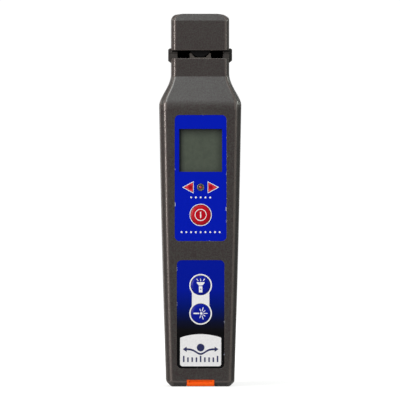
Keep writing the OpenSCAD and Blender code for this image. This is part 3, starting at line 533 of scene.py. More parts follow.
# The lower overlay's print runs from blue into black over the keys' lower half
LOWER_PANEL = Overlay("blue_to_black_overlay", "printed_panel", "#001697", "#001697", 0.32, 1.5,
                      0.006, specular=0.12, low=29.0, high=68.8, rim=(12.97, 9.9, 68.9, 2.6),
                      stops=((0.0, "#08080B"), (0.05, "#0B0B10"), (0.16, "#080E2C"),
                             (0.27, "#021152"), (0.38, "#001470"), (0.49, "#001584"),
                             (0.6, "#001698"), (1.0, "#001699")))
# White ink of the prints: flat and even
WHITE_INK = Finish("white_ink", "printed_panel", "#EFF1F4", "#E6E8EC", 0.5, 1.0, 0.004)
# Dark blue ink of the drawing on the white plate: flat and even
BLUE_INK = Finish("blue_ink", "printed_panel", "#12184F", "#171E5C", 0.5, 1.0, 0.004)
# Red silicone of the power key: even colour with a soft shine
RED_KEY = Finish("red_key_cap", "red_key", "#AE0018", "#B6001A", 0.32, 1.2, 0.004, specular=0.3)
# Blue silicone of the torch and laser keys: even colour with a soft shine
BLUE_KEY = Finish("blue_key_cap", "blue_key", "#01169A", "#001490", 0.3, 1.2, 0.004, specular=0.2)
# Red lenses of the arrow lights: clear red, dark in the middle, and a painted highlight: a pale
# ring in the ramp where facets would catch light
RED_LENS_PAINTED_HIGHLIGHT = Centred("red_lens_painted_highlight", "red_light", "#A00018", "#A00018", 0.2, 1.3, 0.06, glow=0.1,
                   axis=(5.6, 108.5), reach=3.4,
                   stops=((0.0, "#7C0A16"), (0.28, "#A40018"), (0.52, "#D8344A"),
                          (0.8, "#C00A26"), (1.0, "#B00020")))
# Clear lens of the status lamp, with its red die in the middle, and a painted glow
LAMP_LENS = Centred("clear_lamp_lens", "red_light", "#C01A20", "#C01A20", 0.25, 1.0, 0.01,
                    glow=0.25, axis=(0.0, 108.5), reach=1.1,
                    stops=((0.0, "#D2222A"), (0.4, "#A81C22"), (0.62, "#4A3A38"),
                           (1.0, "#3A3836")))
# Polarised glass of the unlit display: grey-green, hardly any gloss, with painted shade towards the
# window's edges, deepest at the left and the top
DISPLAY_PAINTED_SHADE = PaintedShadeGlass("display_polariser_painted_shade", "display", "#464E45", "#4C544A", 0.35, 2.5, 0.002,
                 specular=0.3, window=(11.7, 128.6),
                 painted_shade=((3.9, 0.24), (4.8, 0.6), (3.0, 0.78), (6.0, 0.48)))
# Nickel-plated steel of screws, plates, pin and springs: bright, with a fine drawn grain
STEEL = Brushed("nickel_steel", "steel", "#A8A8A6", "#C2C2BE", 0.28, 0.3, 0.004, metallic=1.0)
# Blackened steel of the screws in the rear shell: dark with a dull shine
DARK_STEEL = Brushed("black_oxide_steel", "dark_steel", "#2A2A2C", "#38383A", 0.4, 0.3, 0.004,
                     metallic=1.0)
# Turned brass of the laser module: yellow, with fine turning marks
BRASS = Brushed("turned_brass", "brass", "#A07C34", "#B9944A", 0.3, 0.3, 0.004, metallic=1.0)
# Zirconia of the ferrule sleeve: white and glossy
CERAMIC = Finish("white_zirconia", "ceramic", "#EDEBE4", "#F4F2EC", 0.25, 0.5, 0.002, coat=0.4)
# Green solder mask of the boards: glossy, slightly uneven green
BOARD = Finish("green_solder_mask", "circuit_board", "#1A5230", "#226339", 0.35, 1.0, 0.01)
# Epoxy of the chips: matt black
CHIP = Finish("black_epoxy", "black_plastic", "#161617", "#202022", 0.55, 0.3, 0.01)
# Printed film round the cells: green, an ochre band at the button, bare steel at both ends
FILM = ((0.0, "#A8A8A6"), (0.012, "#A8A8A6"), (0.016, "#2C6E3C"), (0.76, "#347A46"),
        (0.765, "#B98A32"), (0.96, "#B98A32"), (0.965, "#A8A8A6"), (1.0, "#B4B4B0"))
LEFT_FILM = Graded("left_cell_film", "cell_jacket", "#2C6E3C", "#347A46", 0.35, 1.0, 0.004,
                   low=19.6, high=64.1, stops=FILM)
RIGHT_FILM = Graded("right_cell_film", "cell_jacket", "#2C6E3C", "#347A46", 0.35, 1.0, 0.004,
                    low=60.3, high=15.8, stops=FILM)
# Clear epoxy of the torch lamp: glossy, and lets light through
LENS = Finish("clear_epoxy", "clear_lamp", "#EDEFF2", "#F7F8FA", 0.08, 1.0, 0.001,
              transmission=0.6)
# Orange rubber of the dust flap: matt with a faint skin
ORANGE = Finish("matt_orange_rubber", "orange_rubber", "#EE5A12", "#F36116", 0.5, 0.8, 0.02,
                specular=0.1)
# Satin grey ring round the status lamp: between metal and plastic
RING = Finish("satin_ring", "grey_plastic", "#5F5F5D", "#7C7C79", 0.35, 0.3, 0.01, metallic=0.5)


# ---- Mesh tools ----


def lerp(a: float, b: float, t: float) -> float:
    """The value a share t of the way from a to b."""
    return a + (b - a) * t


def clamp(t: float) -> float:
    """The value, kept between 0 and 1."""
    return max(0.0, min(1.0, t))


def mesh_object(name: str, points: Sequence[Point3], faces: Sequence[Sequence[int]]) -> Piece:
    """Makes a mesh object from points in millimetres.

    Args:
        name: the piece's name.
        points: the corners, in millimetres.
        faces: the corners' numbers, face by face.

    Returns:
        The new object, linked to the scene.
    """
    mesh = bpy.data.meshes.new(name)
    mesh.from_pydata([tuple(v * MM for v in p) for p in points], [], faces)
    mesh.validate()
    made = bpy.data.objects.new(name, mesh)
    bpy.context.scene.collection.objects.link(made)
    return made


def loft(name: str, rings: Sequence[Sequence[Point3]]) -> Piece:
    """Makes a closed skin through rings that have the same number of points.

    Args:
        name: the piece's name.
        rings: the rings, each counter-clockwise seen from the last ring's side.

    Returns:
        The new object.
    """
    n, m = len(rings[0]), len(rings)
    points = [p for ring in rings for p in ring]
    faces = [[k * n + i, k * n + (i + 1) % n, (k + 1) * n + (i + 1) % n, (k + 1) * n + i]
             for k in range(m - 1) for i in range(n)]
    faces.append(list(range(n))[::-1])
    faces.append([(m - 1) * n + i for i in range(n)])
    return mesh_object(name, points, faces)


def plate(name: str, outline: Outline, y0: float, y1: float,
          rim: float = 0.0, back_rim: float = 0.0) -> Piece:
    """Makes a plate from an outline in X and Z, with soft rims.

    Args:
        name: the piece's name.
        outline: the outline's points, counter-clockwise seen from the keys.
        y0: the front face.
        y1: the back face.
        rim: width of the rounded front rim.
        back_rim: width of the rounded back rim.

    Returns:
        The new object.
    """
    def ring(inset: float, y: float) -> list[Point3]:
        """The outline, moved in and placed at a depth."""
        return [(p[0], y, p[1]) for p in shrink(outline, inset)]

    rings = [ring(0, y1)]
    if back_rim:
        rings = [ring(back_rim * (1 - math.sin(a)), y1 - back_rim * (1 - math.cos(a)))
                 for a in QUARTER]
    if rim:
        rings += [ring(rim * (1 - math.cos(a)), y0 + rim * (1 - math.sin(a))) for a in QUARTER]
    else:
        rings.append(ring(0, y0))
    return loft(name, rings)


def shrink(outline: Outline, inset: float) -> list[Point2]:
    """Moves each corner of a closed outline inwards, so that its sides move by the inset.

    Args:
        outline: counter-clockwise points.
        inset: how far the sides move in. Less than zero moves them out.

    Returns:
        The moved points.
    """
    if not inset:
        return list(outline)
    moved = []
    for i, at in enumerate(outline):
        before, after = Vector(outline[i - 1]), Vector(outline[(i + 1) % len(outline)])
        here = Vector(at)
        d0, d1 = (here - before).normalized(), (after - here).normalized()
        n0, n1 = Vector((-d0.y, d0.x)), Vector((-d1.y, d1.x))
        middle = (n0 + n1).normalized()
        reach = inset / max(0.3, middle.dot(n0))
        moved.append(tuple(here + middle * reach))
    return moved


def circle(x: float, z: float, r: float, steps: int = 64) -> list[Point2]:
    """Points of a circle in X and Z, counter-clockwise."""
    return [(x + r * math.cos(2 * math.pi * i / steps), z + r * math.sin(2 * math.pi * i / steps))
            for i in range(steps)]


def rounded(points: Outline, radii: float | Sequence[float],
            steps: int = 8) -> list[Point2]:
    """Rounds the corners of a closed outline.

    Args:
        points: the sharp corners, counter-clockwise.
        radii: one radius, or one for each corner.
        steps: pieces of each arc.

    Returns:
        The points of the rounded outline.
    """
    sizes = [radii] * len(points) if isinstance(radii, (int, float)) else list(radii)
    found: list[Point2] = []
    for i, at in enumerate(points):
        here, r = Vector(at), sizes[i]
        if r <= 0:
            found.append(tuple(here))
            continue
        to_before = (Vector(points[i - 1]) - here).normalized()
        to_after = (Vector(points[(i + 1) % len(points)]) - here).normalized()
        half = to_before.angle(to_after) / 2
        reach = r / math.tan(half)
        centre = here + (to_before + to_after).normalized() * (r / math.sin(half))
        start, end = here + to_before * reach - centre, here + to_after * reach - centre
        a0 = math.atan2(start.y, start.x)
        turn = (math.atan2(end.y, end.x) - a0 + math.pi) % (2 * math.pi) - math.pi
        found += [(centre.x + r * math.cos(a0 + turn * k / steps),
                   centre.y + r * math.sin(a0 + turn * k / steps)) for k in range(steps + 1)]
    return found


def box_outline(x0: float, z0: float, x1: float, z1: float) -> list[Point2]:
    """Corners of an upright rectangle, counter-clockwise."""
    return [(x0, z0), (x1, z0), (x1, z1), (x0, z1)]


def lathe(name: str, profile: Outline, x: float, z: float, steps: int = 64) -> Piece:
    """Turns a profile, radius and Y from the back to the front, round an axis along Y."""
    return loft(name, [[(p[0], y, p[1]) for p in circle(x, z, max(r, TIP_R), steps)]
                       for r, y in profile])


def combine(target: Piece, others: Iterable[Piece], operation: Operation) -> None:
    """Cuts, joins or intersects a piece with helpers, which are deleted.

    Args:
        target: the piece that changes.
        others: the helper objects.
        operation: what the helpers do to the piece.
    """
    helpers = list(others)
    for other in helpers:
        step = target.modifiers.new("step", "BOOLEAN")
        step.operation, step.solver, step.object = operation.value, "MANIFOLD", other
    bpy.context.view_layer.update()
    graph = bpy.context.evaluated_depsgraph_get()
    mesh = bpy.data.meshes.new_from_object(target.evaluated_get(graph), depsgraph=graph)
    target.modifiers.clear()
    old, target.data = target.data, mesh
    bpy.data.meshes.remove(old)
    for other in helpers:
        bpy.data.objects.remove(other)


def soften_edges(obj: Piece, width: float, pick: Callable[[Vector, Vector], bool],
                 angle: float = 40.0, segments: int = 2) -> None:
    """Rounds a piece's sharp edges in its mesh.

    Args:
        obj: the piece.
        width: width of the rounding, in millimetres.
        pick: says of an edge's two ends, in millimetres, whether it is rounded.
        angle: only edges that turn more than this many degrees are rounded.
        segments: pieces of the rounding.
    """
    mesh = bmesh.new()
    mesh.from_mesh(obj.data)
    bmesh.ops.remove_doubles(mesh, verts=mesh.verts, dist=1e-7)
    bmesh.ops.dissolve_limit(mesh, angle_limit=math.radians(0.03), verts=[], edges=mesh.edges)
    edges = [e for e in mesh.edges
             if len(e.link_faces) == 2 and math.degrees(e.calc_face_angle(0)) > angle
             and pick(e.verts[0].co / MM, e.verts[1].co / MM)]
    bmesh.ops.bevel(mesh, geom=edges, offset=width * MM, segments=segments, profile=0.5,
                    affect="EDGES", clamp_overlap=False)
    mesh.to_mesh(obj.data)
    mesh.free()


def smooth(obj: Piece, angle: float = 32.0) -> None:
    """Shades a piece smoothly, apart from edges that turn more than the angle."""
    obj.data.shade_smooth()
    obj.data.set_sharp_from_angle(angle=math.radians(angle))
    weighted = obj.modifiers.new("even_normals", "WEIGHTED_NORMAL")
    weighted.keep_sharp = True


def mark_wear(obj: Piece, spared: Callable[[Vector], bool], low: float = 13.5,
              high: float = 17.5, most: float = 50.0) -> None:
    """Marks the faces that hands rub: those that turn outwards on a soft edge. The same mark
    carries the painted highlight along these edges.

    Each face gets the attribute WEAR, from 0 where the surface turns by less than the low rate to
    1 where it turns by more than the high rate.

    Args:
        obj: the piece.
        spared: says of a face's middle, in millimetres, whether hands don't rub there.
        low: degrees of turn in a millimetre at which wear begins.
        high: degrees of turn in a millimetre at which wear is full.
        most: the turn of a sharper edge counts as this many degrees.
    """
    mesh = bmesh.new()
    mesh.from_mesh(obj.data)
    layer = mesh.faces.layers.float.new(WEAR)
    for face in mesh.faces:
        turned = sum(min(most, math.degrees(edge.calc_face_angle(0.0))) * edge.calc_length()
                     for edge in face.edges if len(edge.link_faces) == 2 and edge.is_convex)
        rate = turned / (2 * max(face.calc_area(), 1e-12)) * MM
        rubbed = 0.0 if spared(face.calc_center_median() / MM) else 1.0
        face[layer] = rubbed * clamp((rate - low) / (high - low))
    mesh.to_mesh(obj.data)
    mesh.free()


@dataclass
class Assembly:
    """A sub-assembly, whose pieces ride on one body.

    Args:
        body: the body that the pieces ride on.
    """

    body: Body = Body.ROOT

    def spared(self, at: Vector) -> bool:
        """Whether a point, in millimetres, lies where hands don't rub, such as in a groove."""
        return False

    def add(self, piece: Piece, finish: Finish, *replaced: str) -> None:
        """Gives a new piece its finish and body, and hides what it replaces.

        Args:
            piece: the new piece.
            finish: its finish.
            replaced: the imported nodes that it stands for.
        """
        mark_wear(piece, self.spared)
        smooth(piece)
        piece.data.materials.clear()
        piece.data.materials.append(finish.make())
        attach(piece, self.body.value)
        if replaced:
            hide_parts(*replaced)
        LOG.info("%s on %s: %s%s", piece.name, self.body.value, finish.name,
                 f", replaces {', '.join(replaced)}" if replaced else "")

    def keep(self, node: str, finish: Finish, edge: float = 0.0) -> None:
        """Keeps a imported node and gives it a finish.

        Args:
            node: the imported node's name.
            finish: its finish.
            edge: width that its sharp edges are rounded by, in millimetres.
        """
        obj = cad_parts[node]
        obj.data.materials.clear()
        obj.data.materials.append(finish.make())
        if edge:
            weld = obj.modifiers.new("weld", "WELD")
            weld.merge_threshold = 1e-6
            flat = obj.modifiers.new("merge_flats", "DECIMATE")
            flat.decimate_type, flat.angle_limit = "DISSOLVE", math.radians(0.3)
            round_off = obj.modifiers.new("round_edges", "BEVEL")
            round_off.width, round_off.segments = edge * MM, 2
            round_off.limit_method, round_off.angle_limit = "ANGLE", math.radians(35)
            even = obj.modifiers.new("even_normals", "WEIGHTED_NORMAL")
            even.keep_sharp = True
        LOG.info("%s kept: %s", node, finish.name)


# ---- Housing and head ----


# Helpers reach this far past the instrument at the sides, in depth and over its top, and this
# far past a face that they only have to cut through, in millimetres
WIDE, DEEP, OVER, PAST = 30.0, 20.0, 210.0, 1.0
# Edges count as lying in a plane up to this distance from it, in millimetres
TOUCH = 0.01


def soft_corner(before: Point2, at: Point2, after: Point2, soft: float,
                steps: int = 5) -> list[Point2]:
    """A short curve that rounds the corner at one point of an outline.

    Args:
        before: the point before the corner.
        at: the corner.
        after: the point after the corner.
        soft: how far from the corner the curve begins and ends.
        steps: pieces of the curve.

    Returns:
        The points of the curve.
    """
    here = Vector(at)
    a = here + (Vector(before) - here).normalized() * soft
    b = here + (Vector(after) - here).normalized() * soft
    return [tuple((1 - t) ** 2 * a + 2 * t * (1 - t) * here + t ** 2 * b)
            for t in (i / steps for i in range(steps + 1))]


@dataclass(frozen=True)
class HousingForm:
    """The outside of the housing and the head, in millimetres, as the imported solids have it.

    Each outline is seen from above: a flat front with a bevel at either side, straight flanks
    and round rear corners. It changes with height.
    """

    foot_w: float = 37.0
    body_w: float = 44.6
    neck_w: float = 31.6
    shoulder_z: float = 153.4
    shoulder_h: float = 17.6
    slope_top_z: float = 169.1
    neck_top_z: float = 178.9
    head_low_z: float = 183.3
    top_z: float = 203.3
    neck_setback: float = 6.0
    wall: float = 2.0
    floor_t: float = 2.2
    foot_chamfer: float = 2.6
    foot_soft: float = 0.5
    bevel_w: float = 2.7
    foot_bevel_w: float = 2.4
    neck_bevel_w: float = 1.65
    edge_soft: float = 1.3
    rear_edge_r: float = 4.5
    rear_lean: float = 0.4
    brow_soft: float = 5.0
    front_y: float = -15.2
    rear_y: float = 14.0
    part_y: float = 1.0
    near: float = 0.1
    head_brow_h: float = 3.8
    head_brow_d: float = 2.4
    head_round_h: float = 3.2
    head_round_w: float = 4.6
    side_bow: float = 0.33
    shoulder_bend: float = 0.87

    @property
    def neck_front_y(self) -> float:
        """Front face of the neck and the head."""
        return self.front_y + self.neck_setback

    @property
    def collar_z(self) -> float:
        """Top of the rear shell's collar, just under the head."""
        return self.head_low_z - self.near

    def fall(self, z: float) -> float:
        """How much of the body's width is left along the shoulder, from 1 down to 0."""
        t = clamp((z - self.shoulder_z) / self.shoulder_h)
        return (1 + math.cos(math.pi * t ** self.shoulder_bend)) / 2

    def half_w(self, z: float) -> float:
        """Half the width at a height."""
        if z > self.shoulder_z:
            return lerp(self.neck_w, self.body_w, self.fall(z)) / 2
        bow = self.side_bow * math.sin(math.pi * self.flank(z))
        return lerp(self.foot_w, self.body_w, self.flank(z)) / 2 + bow

    def flank(self, z: float) -> float:
        """How far up the flank a height is, from 0 to 1."""
        return clamp((z - self.foot_chamfer) / (self.shoulder_z - self.foot_chamfer))

    def bevel(self, z: float) -> float:
        """Width of the side bevels at a height."""
        if z > self.shoulder_z:
            return lerp(self.neck_bevel_w, self.bevel_w, self.fall(z))
        return lerp(self.foot_bevel_w, self.bevel_w, self.flank(z))

    def front(self, z: float) -> float:
        """Front face at a height: it rounds into the slope and stops at the neck."""
        d, half = z - self.shoulder_z, self.brow_soft / 2
        run = 0.0 if d < -half else (d + half) ** 2 / (2 * self.brow_soft) if d < half else d
        return self.front_y + self.neck_setback * clamp(run / (self.slope_top_z - self.shoulder_z))

    def rear(self, z: float) -> float:
        """Rear face at a height: it leans forward a little towards the foot."""
        return self.rear_y - self.rear_lean * (1 - z / self.neck_top_z)

    def outline(self, half_w: float, front: float, rear: float, bevel: float,
                r: float) -> list[Point2]:
        """Outline seen from above, counter-clockwise from the left end of the front face.

        Args:
            half_w: half its width.
            front: Y of its front face.
            rear: Y of its rear face.
            bevel: width of the bevels at the front.
            r: radius of the rear corners.

        Returns:
            The outline's points in X and Y.
        """
        bl, br = (bevel - half_w, front), (half_w - bevel, front)
        ar, al = (half_w, front + bevel), (-half_w, front + bevel)
        soft = min(self.edge_soft, bevel / 2)
        corners: list[Point2] = []
        for centre, start in (((half_w - r, rear - r), 0), ((r - half_w, rear - r), 90)):
            corners += [(centre[0] + r * math.cos(math.radians(start + 9 * i)),
                         centre[1] + r * math.sin(math.radians(start + 9 * i))) for i in range(11)]
        return (soft_corner(al, bl, br, soft) + soft_corner(bl, br, ar, soft)
                + soft_corner(br, ar, (half_w, rear), soft) + corners
                + soft_corner((-half_w, rear), al, bl, soft))

    def station(self, z: float, at: float, inset: float) -> list[Point3]:
        """The outline of the height at, moved in by the inset and placed at height z."""
        flat = self.outline(self.half_w(at) - inset, self.front(at) + inset, self.rear(at) - inset,
                            self.bevel(at) - (2 - math.sqrt(2)) * inset,
                            self.rear_edge_r - inset)
        return [(x, y, z) for x, y in flat]

    def heights(self) -> list[float]:
        """Heights of the outlines over the foot's chamfer, close together where the form turns.

        Returns:
            The heights, from the foot up.
        """
        low, high = self.shoulder_z - self.brow_soft / 2, self.shoulder_z + self.shoulder_h
        few, many = 14, 52
        flank = [lerp(self.foot_chamfer, low, i / few) for i in range(1, few)]
        curve = [low + (high - low) * i / many for i in range(many + 1)]
        # No two outlines closer than this, or the loft gets slivers
        curve = [z for z in curve
                 if abs(z - self.slope_top_z) > 0.15 and abs(z - self.shoulder_z) > 0.1]
        return sorted(flank + curve + [self.slope_top_z, self.shoulder_z])

    def half_at(self, z: float) -> float:
        """Half the width at a height, with the foot's chamfer."""
        return self.half_w(max(z, self.foot_chamfer)) - max(0.0, self.foot_chamfer - z)

    def solid(self, name: str, inset: float = 0.0) -> Piece:
        """The housing's outside as one closed piece, its foot chamfered with soft edges.

        Args:
            name: the piece's name.
            inset: how far the whole skin is moved in, below the top.

        Returns:
            The new object.
        """
        # Height and inset of the chamfer's outlines, with both of its edges softened by s
        c, s = self.foot_chamfer, self.foot_soft
        foot = [(0.0, c + s), (s * 0.12, c + s * 0.4), (s * 0.35, c - s * 0.15), (s, c - s),
                (c - s, s), (c - s * 0.15, s * 0.35), (c + s * 0.4, s * 0.12), (c + s, 0.0)]
        rings = [self.station(z + inset, max(z, c), i + inset) for z, i in foot]
        rings += [self.station(z, z, inset) for z in self.heights()]
        return loft(name, rings + [self.station(self.collar_z + 2 * inset, self.collar_z, inset)])

    def room(self, name: str) -> Piece:
        """The hollow inside the housing, open at the top, as a helper of that name."""
        rings = [self.station(self.floor_t, self.foot_chamfer, self.wall)]
        rings += [self.station(z, z, self.wall) for z in self.heights()]
        return loft(name, rings + [self.station(self.collar_z + PAST, self.collar_z, self.wall)])

    def head_station(self, z: float, round_t: float, brow_t: float, inset: float) -> list[Point3]:
        """One outline of the head.

        Args:
            z: its height.
            round_t: how far the upper corners' round has come, from 0 to 1.
            brow_t: how far the brow has sloped back, from 0 to 1.
            inset: how far its sides are moved in.

        Returns:
            The outline's points.
        """
        fall = 1 - math.sqrt(1 - clamp(round_t) ** 2)
        flat = self.outline(self.neck_w / 2 - self.head_round_w * fall - inset,
                            self.neck_front_y + self.head_brow_d * brow_t + inset,
                            self.rear_y - self.head_round_h * fall - inset,
                            self.neck_bevel_w - (2 - math.sqrt(2)) * inset,
                            self.rear_edge_r - inset)
        return [(x, y, z) for x, y in flat]

    def head_solid(self, name: str) -> Piece:
        """The head's outside as one closed piece.

        Args:
            name: the piece's name.

        Returns:
            The new object.
        """
        rings = [self.head_station(self.head_low_z, 0, 0, 0)]
        brow_z, round_z = self.top_z - self.head_brow_h, self.top_z - self.head_round_h
        start, count = min(brow_z, round_z), 26
        for i in range(count + 1):
            z = start + (self.top_z - start) * math.sin(math.pi / 2 * i / count)
            rings.append(self.head_station(z, (z - round_z) / self.head_round_h,
                                           clamp((z - brow_z) / self.head_brow_h), 0))
        return loft(name, rings)

    def head_room(self, name: str) -> Piece:
        """The hollow inside the head, open below."""
        round_z = self.top_z - self.head_round_h
        return loft(name, [self.head_station(self.head_low_z - PAST, 0, 0, self.wall),
                           self.head_station(round_z - self.wall / 2, 0, 0, self.wall),
                           self.head_station(self.top_z - self.wall, 0.5, 0.5, self.wall)])


FORM = HousingForm()


def block(low: Point3, high: Point3) -> Piece:
    """A helper box between two corners, in millimetres, for cutting and joining."""
    corners = ((low[0], low[1]), (high[0], low[1]), (high[0], high[1]), (low[0], high[1]))
    points = [(x, y, z) for z in (low[2], high[2]) for x, y in corners]
    faces = [(0, 3, 2, 1), (4, 5, 6, 7), (0, 1, 5, 4), (1, 2, 6, 5), (2, 3, 7, 6), (3, 0, 4, 7)]
    return mesh_object("helper", points, faces)


def drill(r: float, x: float, z: float, y0: float, y1: float, steps: int = 64) -> Piece:
    """A helper rod along Y, for cutting and joining."""
    return plate("helper", circle(x, z, r, steps), y0, y1)


def on_both_sides(make: Callable[[int], Piece]) -> list[Piece]:
    """Makes a helper for the left (-1) and for the right (1)."""
    return [make(side) for side in SIDES]


def rods(r: float, places: Outline, y0: float, y1: float, steps: int) -> list[Piece]:
    """Helper rods along Y at several places, each of them left and right."""
    return [drill(r, side * x, z, y0, y1, steps) for x, z in places for side in SIDES]


@dataclass(frozen=True)
class Places:
    """Places and sizes that several pieces share, in millimetres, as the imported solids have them.

    A place is given across and up, or in depth where its name ends in y. The panels, the door,
    the slide and its stem are given as half the width, the lower and the upper edge.
    """

    screws: tuple[Point2, ...] = ((15.6, 146.5), (14.7, 84.0))
    posts: tuple[Point2, ...] = ((9.2, 144.6), (9.2, 67.5))
    board_y: float = -9.0
    upper: Point3 = (14.05, 79.3, 147.8)
    lower: Point3 = (12.9, 10.0, 68.8)
    panel_r: float = 2.5
    panel_back_y: float = -14.7
    panel_y: float = -15.1
    window: float = 11.7
    window_z: float = 128.6
    lights_z: float = 108.5
    arrow_back: float = 4.2
    arrow_len: float = 5.0
    arrow_half: float = 2.7
    lamp_r: float = 1.1
    ring_r: float = 2.0
    power_z: float = 93.5
    power_r: float = 5.5
    torch_z: float = 55.2
    laser_z: float = 39.9
    small_r: float = 5.3
    key_y: float = -15.5
    key_gap: float = 0.15
    groove: float = 7.6
    hinge: Point2 = (10.6, 1.9)
    hinge_r: float = 1.65
    rear_face_y: float = 13.3
    port_y: float = -6.0
    torch: Point2 = (12.0, -3.0)
    door: Point3 = (12.9, 12.6, 71.0)
    slide: Point3 = (7.5, 145.5, 167.5)
    stem: Point3 = (4.1, 151.9, 158.9)


AT = Places()


def upright(half_w: float, low: float, high: float, r: float) -> list[Point2]:
    """Outline of an upright rectangle with round corners, centred across."""
    return rounded(box_outline(-half_w, low, half_w, high), r)


def arrow(grow: float, side: int) -> list[Point2]:
    """Outline of an arrow light, grown on all sides.

    Args:
        grow: how far its sides are moved out.
        side: 1 for the right arrow and -1 for the left one.

    Returns:
        The outline's points, counter-clockwise.
    """
    points = [(AT.arrow_back - grow, AT.lights_z - AT.arrow_half - grow),
              (AT.arrow_back + AT.arrow_len + grow, AT.lights_z),
              (AT.arrow_back - grow, AT.lights_z + AT.arrow_half + grow)]
    return points if side > 0 else [(-x, z) for x, z in points][::-1]


def rod_up(r: float, x: float, y: float, z0: float, z1: float, steps: int = 48) -> Piece:
    """A helper rod along Z, for cutting and joining."""
    return loft("helper", [[(p[0], p[1], z) for p in circle(x, y, r, steps)] for z in (z0, z1)])


def groove_cutters() -> list[Piece]:
    """Helpers that cut the groove in which the dust flap lies.

    Returns:
        The room for the strap, for the lip at the front and for the barrel at the back.
    """
    half_w, front, rear = AT.groove, FORM.front_y, FORM.rear_y + PAST
    strap_z, lip_y, lip_z, barrel_y, barrel_z = 2.1, front + 1.65, 3.85, AT.hinge[0] - 1.95, 3.95
    return [block((-half_w, front - PAST, -PAST), (half_w, rear, strap_z)),
            block((-half_w, front - PAST, -PAST), (half_w, lip_y, lip_z)),
            block((-half_w, barrel_y, -PAST), (half_w, rear, barrel_z))]


@dataclass
class Shells(Assembly):
    """Front and rear shell: one smooth form, parted along a fine seam.

    Args:
        seam: half the width of the parting groove.
        seam_depth: depth of the parting groove.
        unworn: wear stays this far from the groove, the door and the collar.
        rim: rounding of most rims.
        door_rim: rounding of the rims of the door's opening.
        boss: radius of the screw bosses and of their bores.
        post: radius of the board's posts and of their bores.
        beam: half the width, the foot and the top of the beam over the flap's groove.
        port: radius and top of the port's opening.
        torch: radius and top of the torch's opening.
        wall_y: where cutters through the rear wall begin and end.
        stem_room: how far the slide's stem travels, and room for it.
    """

    seam: float = 0.14
    seam_depth: float = 0.4
    unworn: float = 0.6
    rim: float = 0.16
    door_rim: float = 0.24
    boss: Point2 = (2.7, 1.05)
    post: Point2 = (1.9, 0.75)
    beam: Point3 = (8.6, 2.1, 3.9)
    port: Point2 = (3.7, 5.0)
    torch: Point2 = (2.6, 3.3)
    wall_y: Point2 = (11.0, 15.0)
    stem_room: float = 5.1

    def on_seam(self, a: Vector, b: Vector) -> bool:
        """Whether an edge is a rim of the parting groove on the outside."""
        return all(abs(abs(p.y - FORM.part_y) - self.seam) < TOUCH
                   and (abs(abs(p.x) - FORM.half_at(p.z)) < 0.2 or p.z < 0.2) for p in (a, b))

    def spared(self, at: Vector) -> bool:
        """The parting groove, the battery door's opening and the collar under the head."""
        half_w, low, high = (v + self.unworn * grow for v, grow in zip(AT.door, (1, -1, 1)))
        in_door = at.y > AT.rear_face_y and abs(at.x) < half_w and low < at.z < high
        in_groove = abs(at.y - FORM.part_y) < self.unworn
        return in_groove or in_door or at.z > FORM.collar_z - self.unworn

    def groove(self) -> Piece:
        """Helper that cuts the groove along the parting line."""
        ring = block((-WIDE, FORM.part_y - self.seam, -PAST),
                     (WIDE, FORM.part_y + self.seam, FORM.neck_top_z))
        combine(ring, [FORM.solid("helper", self.seam_depth)], Operation.CUT)
        return ring

    def half(self, name: str, y0: float, y1: float) -> Piece:
        """The hollow housing between two depths.

        Args:
            name: the piece's name.
            y0: the first depth.
            y1: the second depth.

        Returns:
            The new object.
        """
        shell = FORM.solid(name)
        combine(shell, [FORM.room("helper")], Operation.CUT)
        combine(shell, [block((-WIDE, y0, -PAST), (WIDE, y1, OVER))], Operation.KEEP)
        return shell

    def build(self) -> None:
        """Makes both shells."""
        self.front()
        self.rear()

    def front(self) -> None:
        """The front shell, with its window, recesses and openings."""
        shell = self.half("shell_front", -DEEP, FORM.part_y)
        face, near = FORM.front_y, FORM.near
        inner, out = face + FORM.wall, face - PAST
        beam_w, beam_low, beam_high = self.beam
        combine(shell, rods(self.boss[0], AT.screws, inner - near, FORM.part_y, 32)
                + rods(self.post[0], AT.posts, inner - near, AT.board_y, 32)
                + [block((-beam_w, face + PAST, beam_low), (beam_w, FORM.part_y, beam_high))],
                Operation.ADD)
        cutters = rods(self.boss[1], AT.screws, inner + 2 * PAST, FORM.part_y + PAST, 24)
        cutters += rods(self.post[1], AT.posts, inner + near, AT.board_y + PAST, 24)
        for half_w, low, high in (AT.upper, AT.lower):
            recess = upright(half_w + near, low - near, high + near, AT.panel_r + near)
            cutters.append(plate("helper", recess, out, AT.panel_back_y))
        w, wz, seat_w, seat_y = AT.window, AT.window_z, 13, -13.9
        cutters += [block((-w, out, wz - w), (w, inner + PAST, wz + w)),
                    block((-seat_w, seat_y, wz - seat_w), (seat_w, inner + PAST, wz + seat_w))]
        cutters += on_both_sides(lambda side: plate("helper", arrow(near, side), out, inner + PAST))
        cutters += [drill(r, 0, z, out, inner + PAST) for r, z in (
            (AT.ring_r + near, AT.lights_z), (AT.power_r + AT.key_gap, AT.power_z),
            (AT.small_r + AT.key_gap, AT.torch_z), (AT.small_r + AT.key_gap, AT.laser_z))]
        cutters += [block((-WIDE, -DEEP, FORM.neck_top_z), (WIDE, FORM.part_y + PAST, OVER)),
                    rod_up(self.port[0], 0, AT.port_y, -PAST, self.port[1]),
                    rod_up(self.torch[0], *AT.torch, -PAST, self.torch[1])]
        combine(shell, cutters + groove_cutters() + [self.groove()], Operation.CUT)

        def rims(a: Vector, b: Vector) -> bool:
            """Rims of the panel recesses and of the openings in the foot."""
            on_face = all(abs(p.y - face) < TOUCH and abs(p.x) < AT.upper[0] + 0.4
                          for p in (a, b))
            in_foot = all(p.z < TOUCH for p in (a, b))
            return on_face or in_foot or self.on_seam(a, b)

        soften_edges(shell, self.rim, rims)
        soften_edges(shell, 2 * self.rim, lambda a, b: all(
            abs(p.z - FORM.neck_top_z) < TOUCH and p.y < -4 for p in (a, b)))
        self.add(shell, SHELL, "front_shell")

